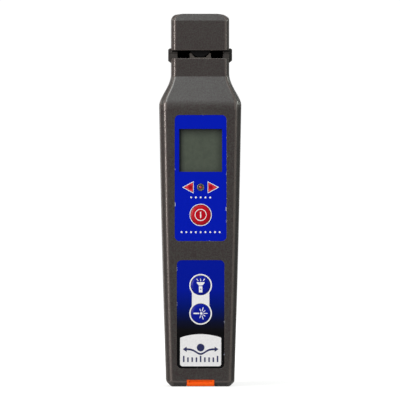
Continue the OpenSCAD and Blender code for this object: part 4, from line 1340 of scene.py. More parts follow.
    def rear(self) -> None:
        """The rear shell, with the battery door's opening and the slide's slot."""
        shell = self.half("shell_rear", FORM.part_y, DEEP)
        y, z = AT.hinge
        r, rear0, wall, lug_w = AT.hinge_r, FORM.rear(0), FORM.wall, 3
        lug = [(y - r, 0), (rear0 - FORM.foot_chamfer, 0),
               (y + r, y + r - rear0 + FORM.foot_chamfer), (y + r, 2 * z + wall),
               (y - r, 2 * z + wall)]
        lugs = on_both_sides(lambda side: extrude_x(
            "helper", lug, *sorted((side * AT.groove, side * (AT.groove + lug_w)))))
        beam_w, beam_low, beam_high = self.beam
        beams = [block((-beam_w, FORM.part_y, beam_low), (beam_w, rear0 - PAST, beam_high)),
                 block((-beam_w, y - r - wall, 2 * z), (beam_w, rear0 - PAST, 2 * z + wall))]
        # The guides of the head's carriage
        guides = [block((x0, 8.8, 150), (x1, 12.1, 175.9)) for x0, x1 in ((8.1, 9.6), (-9.6, -8.1))]
        bosses = rods(self.boss[0], AT.screws, FORM.part_y, FORM.rear_y - wall + FORM.near, 32)
        combine(shell, bosses + lugs + beams + guides, Operation.ADD)
        half_w, low, high = AT.door
        stem_w, stem_low, stem_high = AT.stem
        (inside, outside), head_room_y = self.wall_y, 3.6
        cutters = [block((-half_w, inside, low), (half_w, outside, high)),
                   block((-WIDE, 0, FORM.neck_top_z), (WIDE, head_room_y, OVER)),
                   block((-stem_w, inside, stem_low - FORM.near),
                         (stem_w, outside, stem_high + self.stem_room))]
        shank_r, screw_head_r, seat_y, pin_r, pin_end = 1.15, 2.2, 10.6, 0.77, 10.5
        for x, screw_z in AT.screws:
            for side in SIDES:
                cutters += [drill(shank_r, side * x, screw_z, 0, outside, 24),
                            drill(screw_head_r, side * x, screw_z, seat_y, outside, 40)]
        pin = extrude_x("helper", circle(y, z, pin_r, 32), -pin_end, pin_end)
        port = rod_up(self.port[0], 0, AT.port_y, -PAST, self.port[1])
        combine(shell, cutters + groove_cutters() + [pin, port, self.groove()], Operation.CUT)

        def at_door(a: Vector, b: Vector) -> bool:
            """Rims of the door's opening."""
            return all(p.y > AT.rear_face_y and abs(p.x) < half_w + 0.1
                       and low - 0.1 < p.z < high + 0.1 for p in (a, b))

        def rims(a: Vector, b: Vector) -> bool:
            """Rims of the slot, the screw holes, the foot's openings and the parting groove."""
            behind = all(p.y > AT.rear_face_y for p in (a, b)) and not at_door(a, b)
            in_foot = all(p.z < TOUCH for p in (a, b))
            on_top = all(p.z > FORM.collar_z - TOUCH for p in (a, b))
            return behind or in_foot or on_top or self.on_seam(a, b)

        soften_edges(shell, self.rim, rims)
        soften_edges(shell, self.door_rim, at_door)
        self.add(shell, SHELL, "rear_shell")


@dataclass
class Head(Assembly):
    """The sprung head's cap, and matt black strips under its low rim, over the upper jaw's ears: a
    painted shadow of the cap on the jaw.

    Args:
        screw_at: place of the head's screws, across and in depth.
        boss: radius, foot and top of the screw bosses.
        bore: radius, foot and top of their bores.
        rim: rounding of the cap's low rim.
    """

    body: Body = Body.HEAD
    screw_at: Point2 = (10.0, -3.0)
    boss: Point3 = (2.2, 186.3, 201.4)
    bore: Point3 = (0.75, 185.3, 193.3)
    rim: float = 0.24

    def spared(self, at: Vector) -> bool:
        """The cap's low rim, behind the jaws."""
        return at.z < FORM.head_low_z + 0.6 and at.y > -5

    def build(self) -> None:
        """Makes the cap with its inner bosses, and the painted shadow strips."""
        x, y = self.screw_at
        (r, low, high), (bore_r, bore_low, bore_high) = self.boss, self.bore
        cap = FORM.head_solid("cap")
        combine(cap, [FORM.head_room("helper")], Operation.CUT)
        combine(cap, on_both_sides(lambda side: rod_up(r, side * x, y, low, high)), Operation.ADD)
        combine(cap, on_both_sides(lambda side: rod_up(bore_r, side * x, y, bore_low, bore_high,
                                                       24)), Operation.CUT)
        soften_edges(cap, self.rim, lambda a, b: all(abs(p.z - FORM.head_low_z) < TOUCH
                                                     for p in (a, b)))
        self.add(cap, SHELL, "head_cap")
        # Matt black strips in front of the upper jaw, under the cap's low rim: a painted shadow
        # where the cap overhangs the jaw
        inner, outer = 12.3, 15.7
        section = box_outline(-8.0, FORM.head_low_z - 0.75, -7.42, FORM.head_low_z - 0.02)
        shadow_strips = on_both_sides(lambda side: extrude_x(
            "helper", section, *sorted((side * inner, side * outer)), 0.1))
        self.add(join("cap_shadow_strips", shadow_strips), LINING)


# ---- Fittings ----


def extrude_x(name: str, outline: Outline, x0: float, x1: float,
              rim: float = 0.0) -> Piece:
    """Makes a piece from an outline in Y and Z, with soft rims at both ends.

    Args:
        name: the piece's name.
        outline: points counter-clockwise seen from the right.
        x0: its left end.
        x1: its right end.
        rim: width of the rounded rims.

    Returns:
        The new object.
    """
    if not rim:
        return loft(name, [[(x, y, z) for y, z in outline] for x in (x0, x1)])
    places = [(rim * (1 - math.sin(a)), x0 + rim * (1 - math.cos(a))) for a in QUARTER]
    places += [(rim * (1 - math.cos(a)), x1 - rim * (1 - math.sin(a))) for a in QUARTER]
    return loft(name, [[(x, y, z) for y, z in shrink(outline, inset)] for inset, x in places])


def hoop(name: str, section: Outline, x: float, z: float, steps: int = 72) -> Piece:
    """Turns a closed section of radius and Y round an axis along Y, which leaves a hole.

    Args:
        name: the piece's name.
        section: radius and Y of each corner of the section.
        x: the axis's place across.
        z: the axis's height.
        steps: pieces round the axis.

    Returns:
        The new object.
    """
    n = len(section)
    turns = [2 * math.pi * i / steps for i in range(steps)]
    points = [(x + r * math.cos(a), y, z + r * math.sin(a)) for a in turns for r, y in section]
    faces = [[i * n + k, i * n + (k + 1) % n, (i + 1) % steps * n + (k + 1) % n,
              (i + 1) % steps * n + k] for i in range(steps) for k in range(n)]
    made = mesh_object(name, points, faces)
    mesh = bmesh.new()
    mesh.from_mesh(made.data)
    bmesh.ops.recalc_face_normals(mesh, faces=mesh.faces)
    mesh.to_mesh(made.data)
    mesh.free()
    return made


def band(name: str, outline: Outline, hole: Outline, y0: float,
         y1: float) -> Piece:
    """Makes a flat band between an outline and a hole with the same number of points.

    Args:
        name: the piece's name.
        outline: the outer points, counter-clockwise.
        hole: the inner points, counter-clockwise.
        y0: its front.
        y1: its back.

    Returns:
        The new object.
    """
    n = len(outline)
    sides = ((outline, y1), (outline, y0), (hole, y0), (hole, y1))
    points = [(p[0], y, p[1]) for ring, y in sides for p in ring]
    faces = [[k * n + i, k * n + (i + 1) % n, (k + 1) % 4 * n + (i + 1) % n, (k + 1) % 4 * n + i]
             for k in range(4) for i in range(n)]
    return mesh_object(name, points, faces)


def stroke(x0: float, z0: float, x1: float, z1: float, width: float) -> list[Point2]:
    """Outline of a straight stroke with round ends.

    Args:
        x0: the start's place across.
        z0: the start's height.
        x1: the end's place across.
        z1: the end's height.
        width: the stroke's width.

    Returns:
        The outline's points, counter-clockwise.
    """
    a, b = Vector((x0, z0)), Vector((x1, z1))
    along = (b - a).normalized()
    start = math.atan2(along.y, along.x)
    r = width / 2
    ends = [(b, start - math.pi / 2), (a, start + math.pi / 2)]
    return [(c.x + r * math.cos(t + math.pi * i / 8), c.y + r * math.sin(t + math.pi * i / 8))
            for c, t in ends for i in range(9)]


def join(name: str, parts: Sequence[Piece]) -> Piece:
    """Puts several helpers that don't touch into one piece.

    Args:
        name: the piece's name.
        parts: the helpers, which are deleted.

    Returns:
        The new object.
    """
    mesh = bmesh.new()
    for part in parts:
        mesh.from_mesh(part.data)
        bpy.data.objects.remove(part)
    data = bpy.data.meshes.new(name)
    mesh.to_mesh(data)
    mesh.free()
    made = bpy.data.objects.new(name, data)
    bpy.context.scene.collection.objects.link(made)
    return made


# Thickness of the printed ink, and how deep it sits in what it is printed on, in millimetres
INK, SUNK = 0.04, 0.05


@dataclass
class Lights(Assembly):
    """Arrow lenses and the status lamp in its ring.

    Args:
        dome: how far the dome begins behind the panel's face, and its height.
        ring_rim: radius and depth behind the panel's face of the ring's corners.
        ring_back: back of the ring.
    """

    dome: Point2 = (0.55, 0.5)
    ring_rim: tuple[Point2, ...] = ((1.15, 0.5), (1.45, 0.08), (1.62, 0.0), (1.82, 0.0),
                                    (1.95, 0.08), (2.0, 0.2))
    ring_back: float = -11.2

    def build(self) -> None:
        """Makes the lenses, the lamp and its ring."""
        face, r, back, soft = AT.panel_y, AT.lamp_r, AT.board_y - 0.6, 0.3
        lenses = on_both_sides(lambda side: plate("helper", arrow(0, side), face, back, soft))
        self.add(join("arrow_lenses", lenses), RED_LENS_PAINTED_HIGHLIGHT, "arrow_lights")
        sunk, high = self.dome
        dome = [(AXIS_R, AT.board_y), (r, AT.board_y), (r, face + sunk)]
        dome += [(r * math.cos(a), face + sunk - high * math.sin(a)) for a in FINE_QUARTER]
        self.add(lathe("status_lens", dome, 0, AT.lights_z, 40), LAMP_LENS, "status_lamp")
        rim = [(at_r, face + behind) for at_r, behind in self.ring_rim]
        section = [(rim[0][0], self.ring_back), *rim, (rim[-1][0], self.ring_back)]
        self.add(hoop("status_ring", section, 0, AT.lights_z), RING, "status_lamp_ring")


@dataclass
class Key(Assembly):
    """A key: soft cap, flange and stem in one, with its printed sign.

    Args:
        name: the key's name.
        node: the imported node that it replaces.
        finish: the cap's finish.
        z: its height.
        r: the cap's radius.
        sign: makes the helpers of the printed sign.
        drop: how far the face falls towards its rim.
        rim: radius of the rim's edge.
        flat: radius of the face's flat middle.
        stem: radius and Y of the stem's corners, from the back.
        flange: how far the flange stands out, and its front.
    """

    name: str = ""
    node: str = ""
    finish: Finish = RED_KEY
    z: float = 0.0
    r: float = 5.0
    sign: Callable[["Key"], list[Piece]] | None = None
    drop: float = 0.5
    rim: float = 0.2
    flat: float = 3.0
    stem: tuple[Point2, ...] = ((AXIS_R, -10.2), (1.5, -10.2), (1.6, -10.3), (1.6, -12.3))
    flange: Point2 = (0.9, -13.1)

    @property
    def ink(self) -> Point2:
        """Front and back of the printed sign."""
        return AT.key_y, AT.key_y + INK + SUNK

    def build(self) -> None:
        """Makes the cap and its sign."""
        face, r, drop, e = AT.key_y + INK, self.r, self.drop, self.rim
        flange_r, flange_y = r + self.flange[0], self.flange[1]
        profile = [*self.stem, (flange_r, self.stem[-1][1]), (flange_r, flange_y), (r, flange_y),
                   (r, face + drop + e)]
        profile += [(r - e * (1 - math.cos(a)), face + drop + e - e * math.sin(a))
                    for a in FINE_QUARTER[:-1]]
        dome = r - e - self.flat
        profile += [(r - e - dome * i / 8, face + drop * (1 - i / 8) ** 2) for i in range(9)]
        profile.append((AXIS_R, face))
        self.add(lathe(self.name, profile, 0, self.z, 96), self.finish, self.node)
        self.add(join(self.name + "_sign", self.sign(self)), WHITE_INK)


def power_sign(key: Key) -> list[Piece]:
    """The common sign for on and off: a bar in a ring."""
    outer, inner, half_bar, width = 3.26, 2.86, 1.4, 0.62
    return [band("helper", circle(0, key.z, outer), circle(0, key.z, inner), *key.ink),
            plate("helper", stroke(0, key.z - half_bar, 0, key.z + half_bar, width), *key.ink)]


def torch_sign(key: Key) -> list[Piece]:
    """A torch that points up, with three rays.

    Args:
        key: the key that it is printed on.

    Returns:
        The head, the handle's two pieces, the sides of its switch and the rays.
    """
    z, handle, glass, switch, width = key.z, 0.95, 2.1, 0.35, 0.42
    head = [(-handle, z - 0.1), (handle, z - 0.1), (glass, z + 1.2), (glass, z + 1.75),
            (-glass, z + 1.75), (-glass, z + 1.2)]
    parts = [plate("helper", rounded(head, 0.15, 3), *key.ink)]
    parts += [plate("helper", rounded(box_outline(-handle, z - low, handle, z - high), soft, 3),
                    *key.ink) for low, high, soft in ((3.9, 2.4, 0.2), (1.9, 0.5, 0.15))]
    parts += [plate("helper", box_outline(x0, z - 2.4, x1, z - 1.9), *key.ink)
              for x0, x1 in ((-handle, -switch), (switch, handle))]
    rays = [(0, 2.4, 0, 3.4), (-1.4, 2.5, -2.1, 3.4), (1.4, 2.5, 2.1, 3.4)]
    return parts + [plate("helper", stroke(x0, z + z0, x1, z + z1, width), *key.ink)
                    for x0, z0, x1, z1 in rays]


def laser_sign(key: Key) -> list[Piece]:
    """A fibre's end with light that spreads from it.

    Args:
        key: the key that it is printed on.

    Returns:
        The fibre, the bright spot at its end, and seven rays, long and short in turn.
    """
    x, z, spot, fibre_w, ray_w = 0.35, key.z, 0.72, 0.75, 0.4
    near, long, short, spread = 1.35, 3.3, 2.5, 36
    parts = [plate("helper", stroke(-3.6, z, -1.1, z, fibre_w), *key.ink),
             plate("helper", circle(x, z, spot, 32), *key.ink)]
    for i in range(-3, 4):
        a, far = math.radians(spread * i), long if i % 2 == 0 else short
        ray = stroke(x + near * math.cos(a), z + near * math.sin(a),
                     x + far * math.cos(a), z + far * math.sin(a), ray_w)
        parts.append(plate("helper", ray, *key.ink))
    return parts


@dataclass
class Prints(Assembly):
    """White prints on the two overlays, as thin raised ink.

    Args:
        key_ring: outer and inner radius of the ring round the power key.
        rows: for each row of dots, the dots on each side of the middle one and its height.
        dot: the dots' pitch and radius.
        double: radius, half the waist's width and fillets of the double ring.
        double_hole: radius of its two holes.
        plate_w: half the white plate's width.
        plate_z: foot, shoulders and top of the plate.
        marks: marks of the scale on each side of its middle one, and their pitch.
    """

    key_ring: Point2 = (6.02, 5.66)
    rows: tuple[tuple[int, float], ...] = ((2, 103.0), (4, 84.1))
    dot: Point2 = (2.6, 0.5)
    double: Point3 = (6.15, 4.75, 1.5)
    double_hole: float = 5.46
    plate_w: float = 11.2
    plate_z: Point3 = (11.1, 26.7, 28.6)
    marks: tuple[int, float] = (4, 2.3)

    @property
    def ink(self) -> Point2:
        """Front and back of the ink."""
        return AT.panel_y - INK, AT.panel_y + SUNK

    def build(self) -> None:
        """Makes the prints of both overlays."""
        self.upper()
        self.double_ring()
        self.white_plate()

    def upper(self) -> None:
        """Outlines round the arrows, the ring round the power key and two rows of dots."""
        back, tip, beside, gap = 0.36, 0.85, 0.62, 0.11
        x0, x1 = AT.arrow_back - back, AT.arrow_back + AT.arrow_len + tip
        half = AT.arrow_half + beside
        right = [(x0, AT.lights_z - half), (x1, AT.lights_z), (x0, AT.lights_z + half)]
        left = [(-x, z) for x, z in right[::-1]]
        parts = [band("helper", outline, arrow(gap, side), *self.ink)
                 for outline, side in ((right, 1), (left, -1))]
        parts.append(band("helper", *(circle(0, AT.power_z, r, 96) for r in self.key_ring),
                          *self.ink))
        pitch, dot_r = self.dot
        for count, at_z in self.rows:
            parts += [plate("helper", circle(pitch * i, at_z, dot_r, 24), *self.ink)
                      for i in range(-count, count + 1)]
        self.add(join("upper_prints", parts), WHITE_INK)

    def double_ring(self) -> None:
        """The double ring round the two lower keys."""
        y0, y1 = self.ink
        double = plate("double_ring", two_circles(*self.double), y0, y1)
        combine(double, [drill(self.double_hole, 0, z, y0 - PAST, y1 + PAST, 96)
                         for z in (AT.torch_z, AT.laser_z)], Operation.CUT)
        self.add(double, WHITE_INK)

    def white_plate(self) -> None:
        """The white plate with its arched top, and the plain drawing on it."""
        half_w, (low, side_z, top), soft, high_soft = self.plate_w, self.plate_z, 1.4, 0.85
        arch = [(half_w * (1 - i / 12), top - (top - side_z) * (1 - i / 12) ** 2)
                for i in range(25)]
        outline = rounded([(-half_w, low), (half_w, low), *arch],
                          [soft, soft, high_soft, *[0.0] * 23, high_soft])
        self.add(plate("white_plate", outline, *self.ink), WHITE_INK)
        self.add(join("plate_drawing", self.drawing()), BLUE_INK)

    def drawing(self) -> list[Piece]:
        """A fibre laid in a shallow bend, with arrows, a circle and a scale.

        Returns:
            The fibre, the arrowheads at its ends, the circle over the bend and the scale.
        """
        ink = self.ink[0] - 0.03, self.ink[0] + 0.02
        line_z, sag, half_w = 20.4, 2.6, 0.52
        line = [(x / 10, line_z - sag * math.exp(-(x / 34) ** 2)) for x in range(-78, 79, 2)]
        parts = [plate("helper", [(x, z - half_w) for x, z in line]
                       + [(x, z + half_w) for x, z in line[::-1]], *ink)]
        tip, back, upper, lower = 9.7, 7.6, 21.8, 19.0
        parts += on_both_sides(lambda side: plate("helper", sorted_ccw(
            [(side * tip, line_z), (side * back, upper), (side * back, lower)]), *ink))
        parts.append(plate("helper", circle(0, 21.3, 2.1, 40), *ink))
        (count, pitch), width, low, tall, share = self.marks, 0.8, 13.4, 3.4, 0.75
        for i in range(-count, count + 1):
            high = low + tall * (1.0 if i % count == 0 else share)
            parts.append(plate("helper", box_outline(i * pitch - width / 2, low,
                                                     i * pitch + width / 2, high), *ink))
        return parts


def two_circles(r: float, waist: float, fillet: float) -> list[Point2]:
    """Outline round the two lower keys: two circles joined by a waist with filleted corners.

    Args:
        r: the circles' radius.
        waist: half the waist's width.
        fillet: radius of the fillets between circles and waist.

    Returns:
        The points, counter-clockwise.
    """
    middle, half = (AT.torch_z + AT.laser_z) / 2, (AT.torch_z - AT.laser_z) / 2
    centre_x = waist + fillet
    drop = math.sqrt((r + fillet) ** 2 - centre_x ** 2)
    leave = math.atan2(drop, centre_x)
    quarter = [(r * math.cos(a), half + r * math.sin(a))
               for a in (lerp(-leave, math.pi / 2, i / 30) for i in range(31))]
    corner = [(centre_x - fillet * math.cos(a), half - drop + fillet * math.sin(a))
              for a in (lerp(0, leave, i / 8) for i in range(8))]
    right = [(x, -z) for x, z in (corner + quarter)[::-1]] + corner + quarter
    left = [(-x, z) for x, z in right[::-1]]
    return [(x, middle + z) for x, z in right + left[1:-1]]


def sorted_ccw(points: Outline) -> list[Point2]:
    """The corners of a convex outline, counter-clockwise."""
    cx, cz = (sum(p[k] for p in points) / len(points) for k in (0, 1))
    return sorted(points, key=lambda p: math.atan2(p[1] - cz, p[0] - cx))


@dataclass
class Door(Assembly):
    """Battery door: a piece of the rear face with a ribbed thumb patch and two hooks.

    Args:
        gap: gap round the door.
        leaf: its thickness.
        unworn: wear stays this far from its edges.
        grip: half the width, the depth and half the height of the patch's grooves.
        grooves: how many grooves there are.
        hook: the hooks' place across, half their width and half their height.
    """

    body: Body = Body.DOOR
    gap: float = 0.15
    leaf: float = 1.6
    unworn: float = 0.6
    grip: Point3 = (6.0, 0.5, 0.45)
    grooves: int = 6
    hook: Point3 = (7.0, 1.5, 1.4)

    def near_edge(self, at: Vector, within: float) -> bool:
        """Whether a point lies within that distance of the door's edge, or outside it."""
        half_w, low, high = AT.door
        return abs(at.x) > half_w - within or at.z < low + within or at.z > high - within

    def spared(self, at: Vector) -> bool:
        """The door's outer edges."""
        return self.near_edge(at, self.unworn)

    def build(self) -> None:
        """Makes the door."""
        (half_w, low, high), gap, far = AT.door, self.gap, FORM.rear_y + PAST
        door = FORM.solid("door_leaf")
        combine(door, [block((gap - half_w, FORM.rear(low) - self.leaf, low + gap),
                             (half_w - gap, far, high - gap))], Operation.KEEP)
        (grip_w, deep, half_h), pitch = self.grip, 2
        heights = (high - pitch * (i + 2) for i in range(self.grooves))
        combine(door, [block((-grip_w, FORM.rear(z) - deep, z - half_h), (grip_w, far, z + half_h))
                       for z in heights], Operation.CUT)
        x, w, h = self.hook
        wall_y = FORM.rear(0) - FORM.wall
        hooks = [block((side * x - w, wall_y - 1.2, low - h),
                       (side * x + w, wall_y - FORM.near, low + h)) for side in SIDES]
        hooks += [block((side * x - w, wall_y - 1.1, low + gap),
                        (side * x + w, FORM.rear(low) - w, low + h)) for side in SIDES]
        combine(door, hooks, Operation.ADD)

        def at_edge(a: Vector, b: Vector) -> bool:
            """Outer rims of the door."""
            return all(p.y > AT.rear_face_y and self.near_edge(p, 0.3) for p in (a, b))

        soften_edges(door, 0.14, lambda a, b: all(p.y > 12.4 for p in (a, b))
                     and not at_edge(a, b))
        soften_edges(door, 0.24, at_edge)
        self.add(door, SHELL, "battery_door")


@dataclass
class Slide(Assembly):
    """Thumb slide: a ribbed plate on the rear face, with its stem.

    Args:
        back: gap between the rear face and the plate.
        thick: the plate's thickness.
        crest: how far back the ribs reach.
        ribs: how many ribs there are.
        rib: half a rib's height, from its root in the plate to its crest.
    """

    body: Body = Body.HEAD
    back: float = 0.1
    thick: float = 0.8
    crest: float = 15.5
    ribs: int = 7
    rib: Quad = (0.65, 0.6, 0.38, 0.2)

    def build(self) -> None:
        """Makes the slide."""
        half_w, low, high = AT.slide
        stem_w, stem_low, stem_high = AT.stem
        near, back = FORM.near, FORM.rear_y + self.back
        slide = plate("slide_button", upright(half_w, low, high, 2.0), back,
                      back + self.thick, 0.0, 0.3)
        parts = [block((near - stem_w, 11.8, stem_low), (stem_w - near, back + near, stem_high))]
        depths = (back + self.thick / 2, back + self.thick, self.crest - 0.15, self.crest)
        for i in range(1, self.ribs + 1):
            z = low + (high - low) * i / (self.ribs + 1)
            rib = [(y, z - half) for y, half in zip(depths, self.rib)]
            rib += [(y, z + half) for y, half in zip(depths[::-1], self.rib[::-1])]
            parts.append(extrude_x("helper", rib, 0.8 - half_w, half_w - 0.8, 0.14))
        combine(slide, parts, Operation.ADD)
        combine(slide, [drill(0.75, 0, (stem_low + stem_high) / 2, 10.8, back, 24)],
                Operation.CUT)
        self.add(slide, BLACK, "thumb_slide")


@dataclass
class Flap(Assembly):
    """Orange dust flap: a strap under the foot, a lip with a nail recess, and a hinge barrel.

    Args:
        half_w: half its width.
        strap: foot and top of the strap.
        lip: thickness and top of the lip.
        nail: half the nail recess's width, its depth, foot and top.
    """

    body: Body = Body.FLAP
    half_w: float = 7.45
    strap: Point2 = (0.15, 1.95)
    lip: Point2 = (1.5, 3.7)
    nail: Quad = (6.2, 0.65, 2.1, 3.3)

    def build(self) -> None:
        """Makes the flap."""
        w, face, (y, z) = self.half_w, FORM.front_y, AT.hinge
        (low, strap), (lip_y, lip) = self.strap, self.lip
        bead, bead_top, bead_low, bore_r = 0.15, 1.9, 1.6, 0.8
        section = rounded([(face + 0.04, low), (y, low), (y, strap), (face + lip_y, strap),
                           (face + lip_y, lip), (face + bead, lip), (face + bead, bead_top),
                           (face, bead_low)], [0.45, 0.0, 0.0, 0.3, 0.25, 0.3, 0.0, 0.3], 4)
        flap = extrude_x("flap_body", section, -w, w, 0.18)
        combine(flap, [extrude_x("helper", circle(y, z, AT.hinge_r, 48), -w, w, 0.2)],
                Operation.ADD)
        nail_w, deep, foot, top = self.nail
        combine(flap, [extrude_x("helper", circle(y, z, bore_r, 32), -w - PAST, w + PAST),
                       block((-nail_w, face - PAST, foot), (nail_w, face + deep, top))],
                Operation.CUT)
        soften_edges(flap, 0.1, lambda a, b: all(
            p.y < face + deep + 0.05 and foot - 0.1 < p.z < top + 0.1 and abs(p.x) < nail_w + 0.1
            for p in (a, b)))
        self.add(flap, ORANGE, "dust_flap")


@dataclass
class Screws(Assembly):
    """Cross-recessed screws of the rear shell.

    Args:
        sunk: how far the heads' seats lie before the inside of the rear wall.
        profile: radius and Y behind the seat of a screw's corners, from the tip.
        cross: half the length and half the width of the cross.
        cross_y: front and back of the cross behind the seat.
    """

    sunk: float = 1.4
    profile: tuple[Point2, ...] = ((AXIS_R, -9.0), (0.6, -9.0), (1.05, -8.2), (1.05, 0.0),
                                   (2.1, 0.0), (2.1, 0.9), (2.0, 1.15), (1.7, 1.33),
                                   (AXIS_R, 1.4))
    cross: Point2 = (1.15, 0.2)
    cross_y: Point2 = (0.7, 2.0)

    def build(self) -> None:
        """Makes the four screws in their counterbores."""
        made = [self.screw(side * x, z) for x, z in AT.screws for side in SIDES]
        self.add(join("rear_screws", made), DARK_STEEL, "shell_screws")

    def screw(self, x: float, z: float) -> Piece:
        """One screw, as a helper.

        Args:
            x: its place across.
            z: its height.

        Returns:
            The new object.
        """
        base = FORM.rear_y - FORM.wall - self.sunk
        screw = loft("helper", [[(p[0], base + y, p[1]) for p in circle(x, z, r, 40)]
                                for r, y in self.profile[::-1]])
        y0, y1 = (base + y for y in self.cross_y)
        combine(screw, [block((x - w, y0, z - h), (x + w, y1, z + h))
                        for w, h in (self.cross, self.cross[::-1])], Operation.CUT)
        return screw


KEYS = (Key(Body.POWER, "power_cap", "power_key", RED_KEY, AT.power_z, AT.power_r, power_sign),
        Key(Body.TORCH, "torch_cap", "torch_key", BLUE_KEY, AT.torch_z, AT.small_r, torch_sign),
        Key(Body.LASER, "laser_cap", "laser_key", BLUE_KEY, AT.laser_z, AT.small_r, laser_sign))


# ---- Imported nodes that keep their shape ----


@dataclass
class KeptNodes(Assembly):
    """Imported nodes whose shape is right.

    Args:
        finishes: each node's finish, and the width that its sharp edges are rounded by.
    """

    finishes: dict[str, tuple[Finish, float]] = field(default_factory=lambda: {
        "upper_panel": (PANEL, 0.0), "lower_panel": (LOWER_PANEL, 0.0),
        "display_glass": (DISPLAY_PAINTED_SHADE, 0.0), "display_frame": (BLACK, 0.0),
        "snap_domes": (STEEL, 0.0), "main_board": (BOARD, 0.0),
        "board_parts": (CHIP, 0.1), "board_screws": (STEEL, 0.0), "cell_tray": (BLACK, 0.15),
        "cell_left": (LEFT_FILM, 0.3), "cell_right": (RIGHT_FILM, 0.3),
        "contact_springs": (STEEL, 0.0), "contact_plates": (STEEL, 0.0),
        "laser_module": (BRASS, 0.0), "port_barrel": (STEEL, 0.1),
        "ferrule_sleeve": (CERAMIC, 0.05), "torch_lamp": (LENS, 0.0),
        "flap_pin": (STEEL, 0.0), "lower_jaw": (JAW, 0.15), "slot_liner": (LINING, 0.0),
        "saddle": (SADDLE, 0.1), "photodiodes": (CHIP, 0.0), "detector_board": (BOARD, 0.0),
        "return_spring": (STEEL, 0.0), "carriage": (JAW, 0.15),
        "slide_screw": (STEEL, 0.0), "upper_jaw": (JAW, 0.15), "mandrel": (BLACK, 0.1),
        "jaw_screws": (STEEL, 0.0), "head_screws": (STEEL, 0.0)})

    def build(self) -> None:
        """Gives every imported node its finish."""
        for node, (finish, edge) in self.finishes.items():
            self.keep(node, finish, edge)


# ---- Stage ----


@dataclass(frozen=True)
class SoftLight:
    """A soft box.

    Args:
        name: the light's name.
        place: its place, in metres.
        size: its width and height, in metres.
        power: its power, in watts.
        colour: its sRGB colour.
    """

    name: str
    place: Point3
    size: Point2
    power: float
    colour: str = "#FFFFFF"

    def build(self, aim: Vector) -> None:
        """Places the light and turns it to the object.

        Args:
            aim: the object's middle, in metres.
        """
        data = bpy.data.lights.new(self.name, "AREA")
        data.shape, data.size, data.size_y = "RECTANGLE", *self.size
        data.energy, data.color = self.power, linear(self.colour)[:3]
        made = bpy.data.objects.new(self.name, data)
        made.location = self.place
        made.rotation_euler = (aim - Vector(self.place)).to_track_quat("-Z", "Y").to_euler()
        bpy.context.scene.collection.objects.link(made)


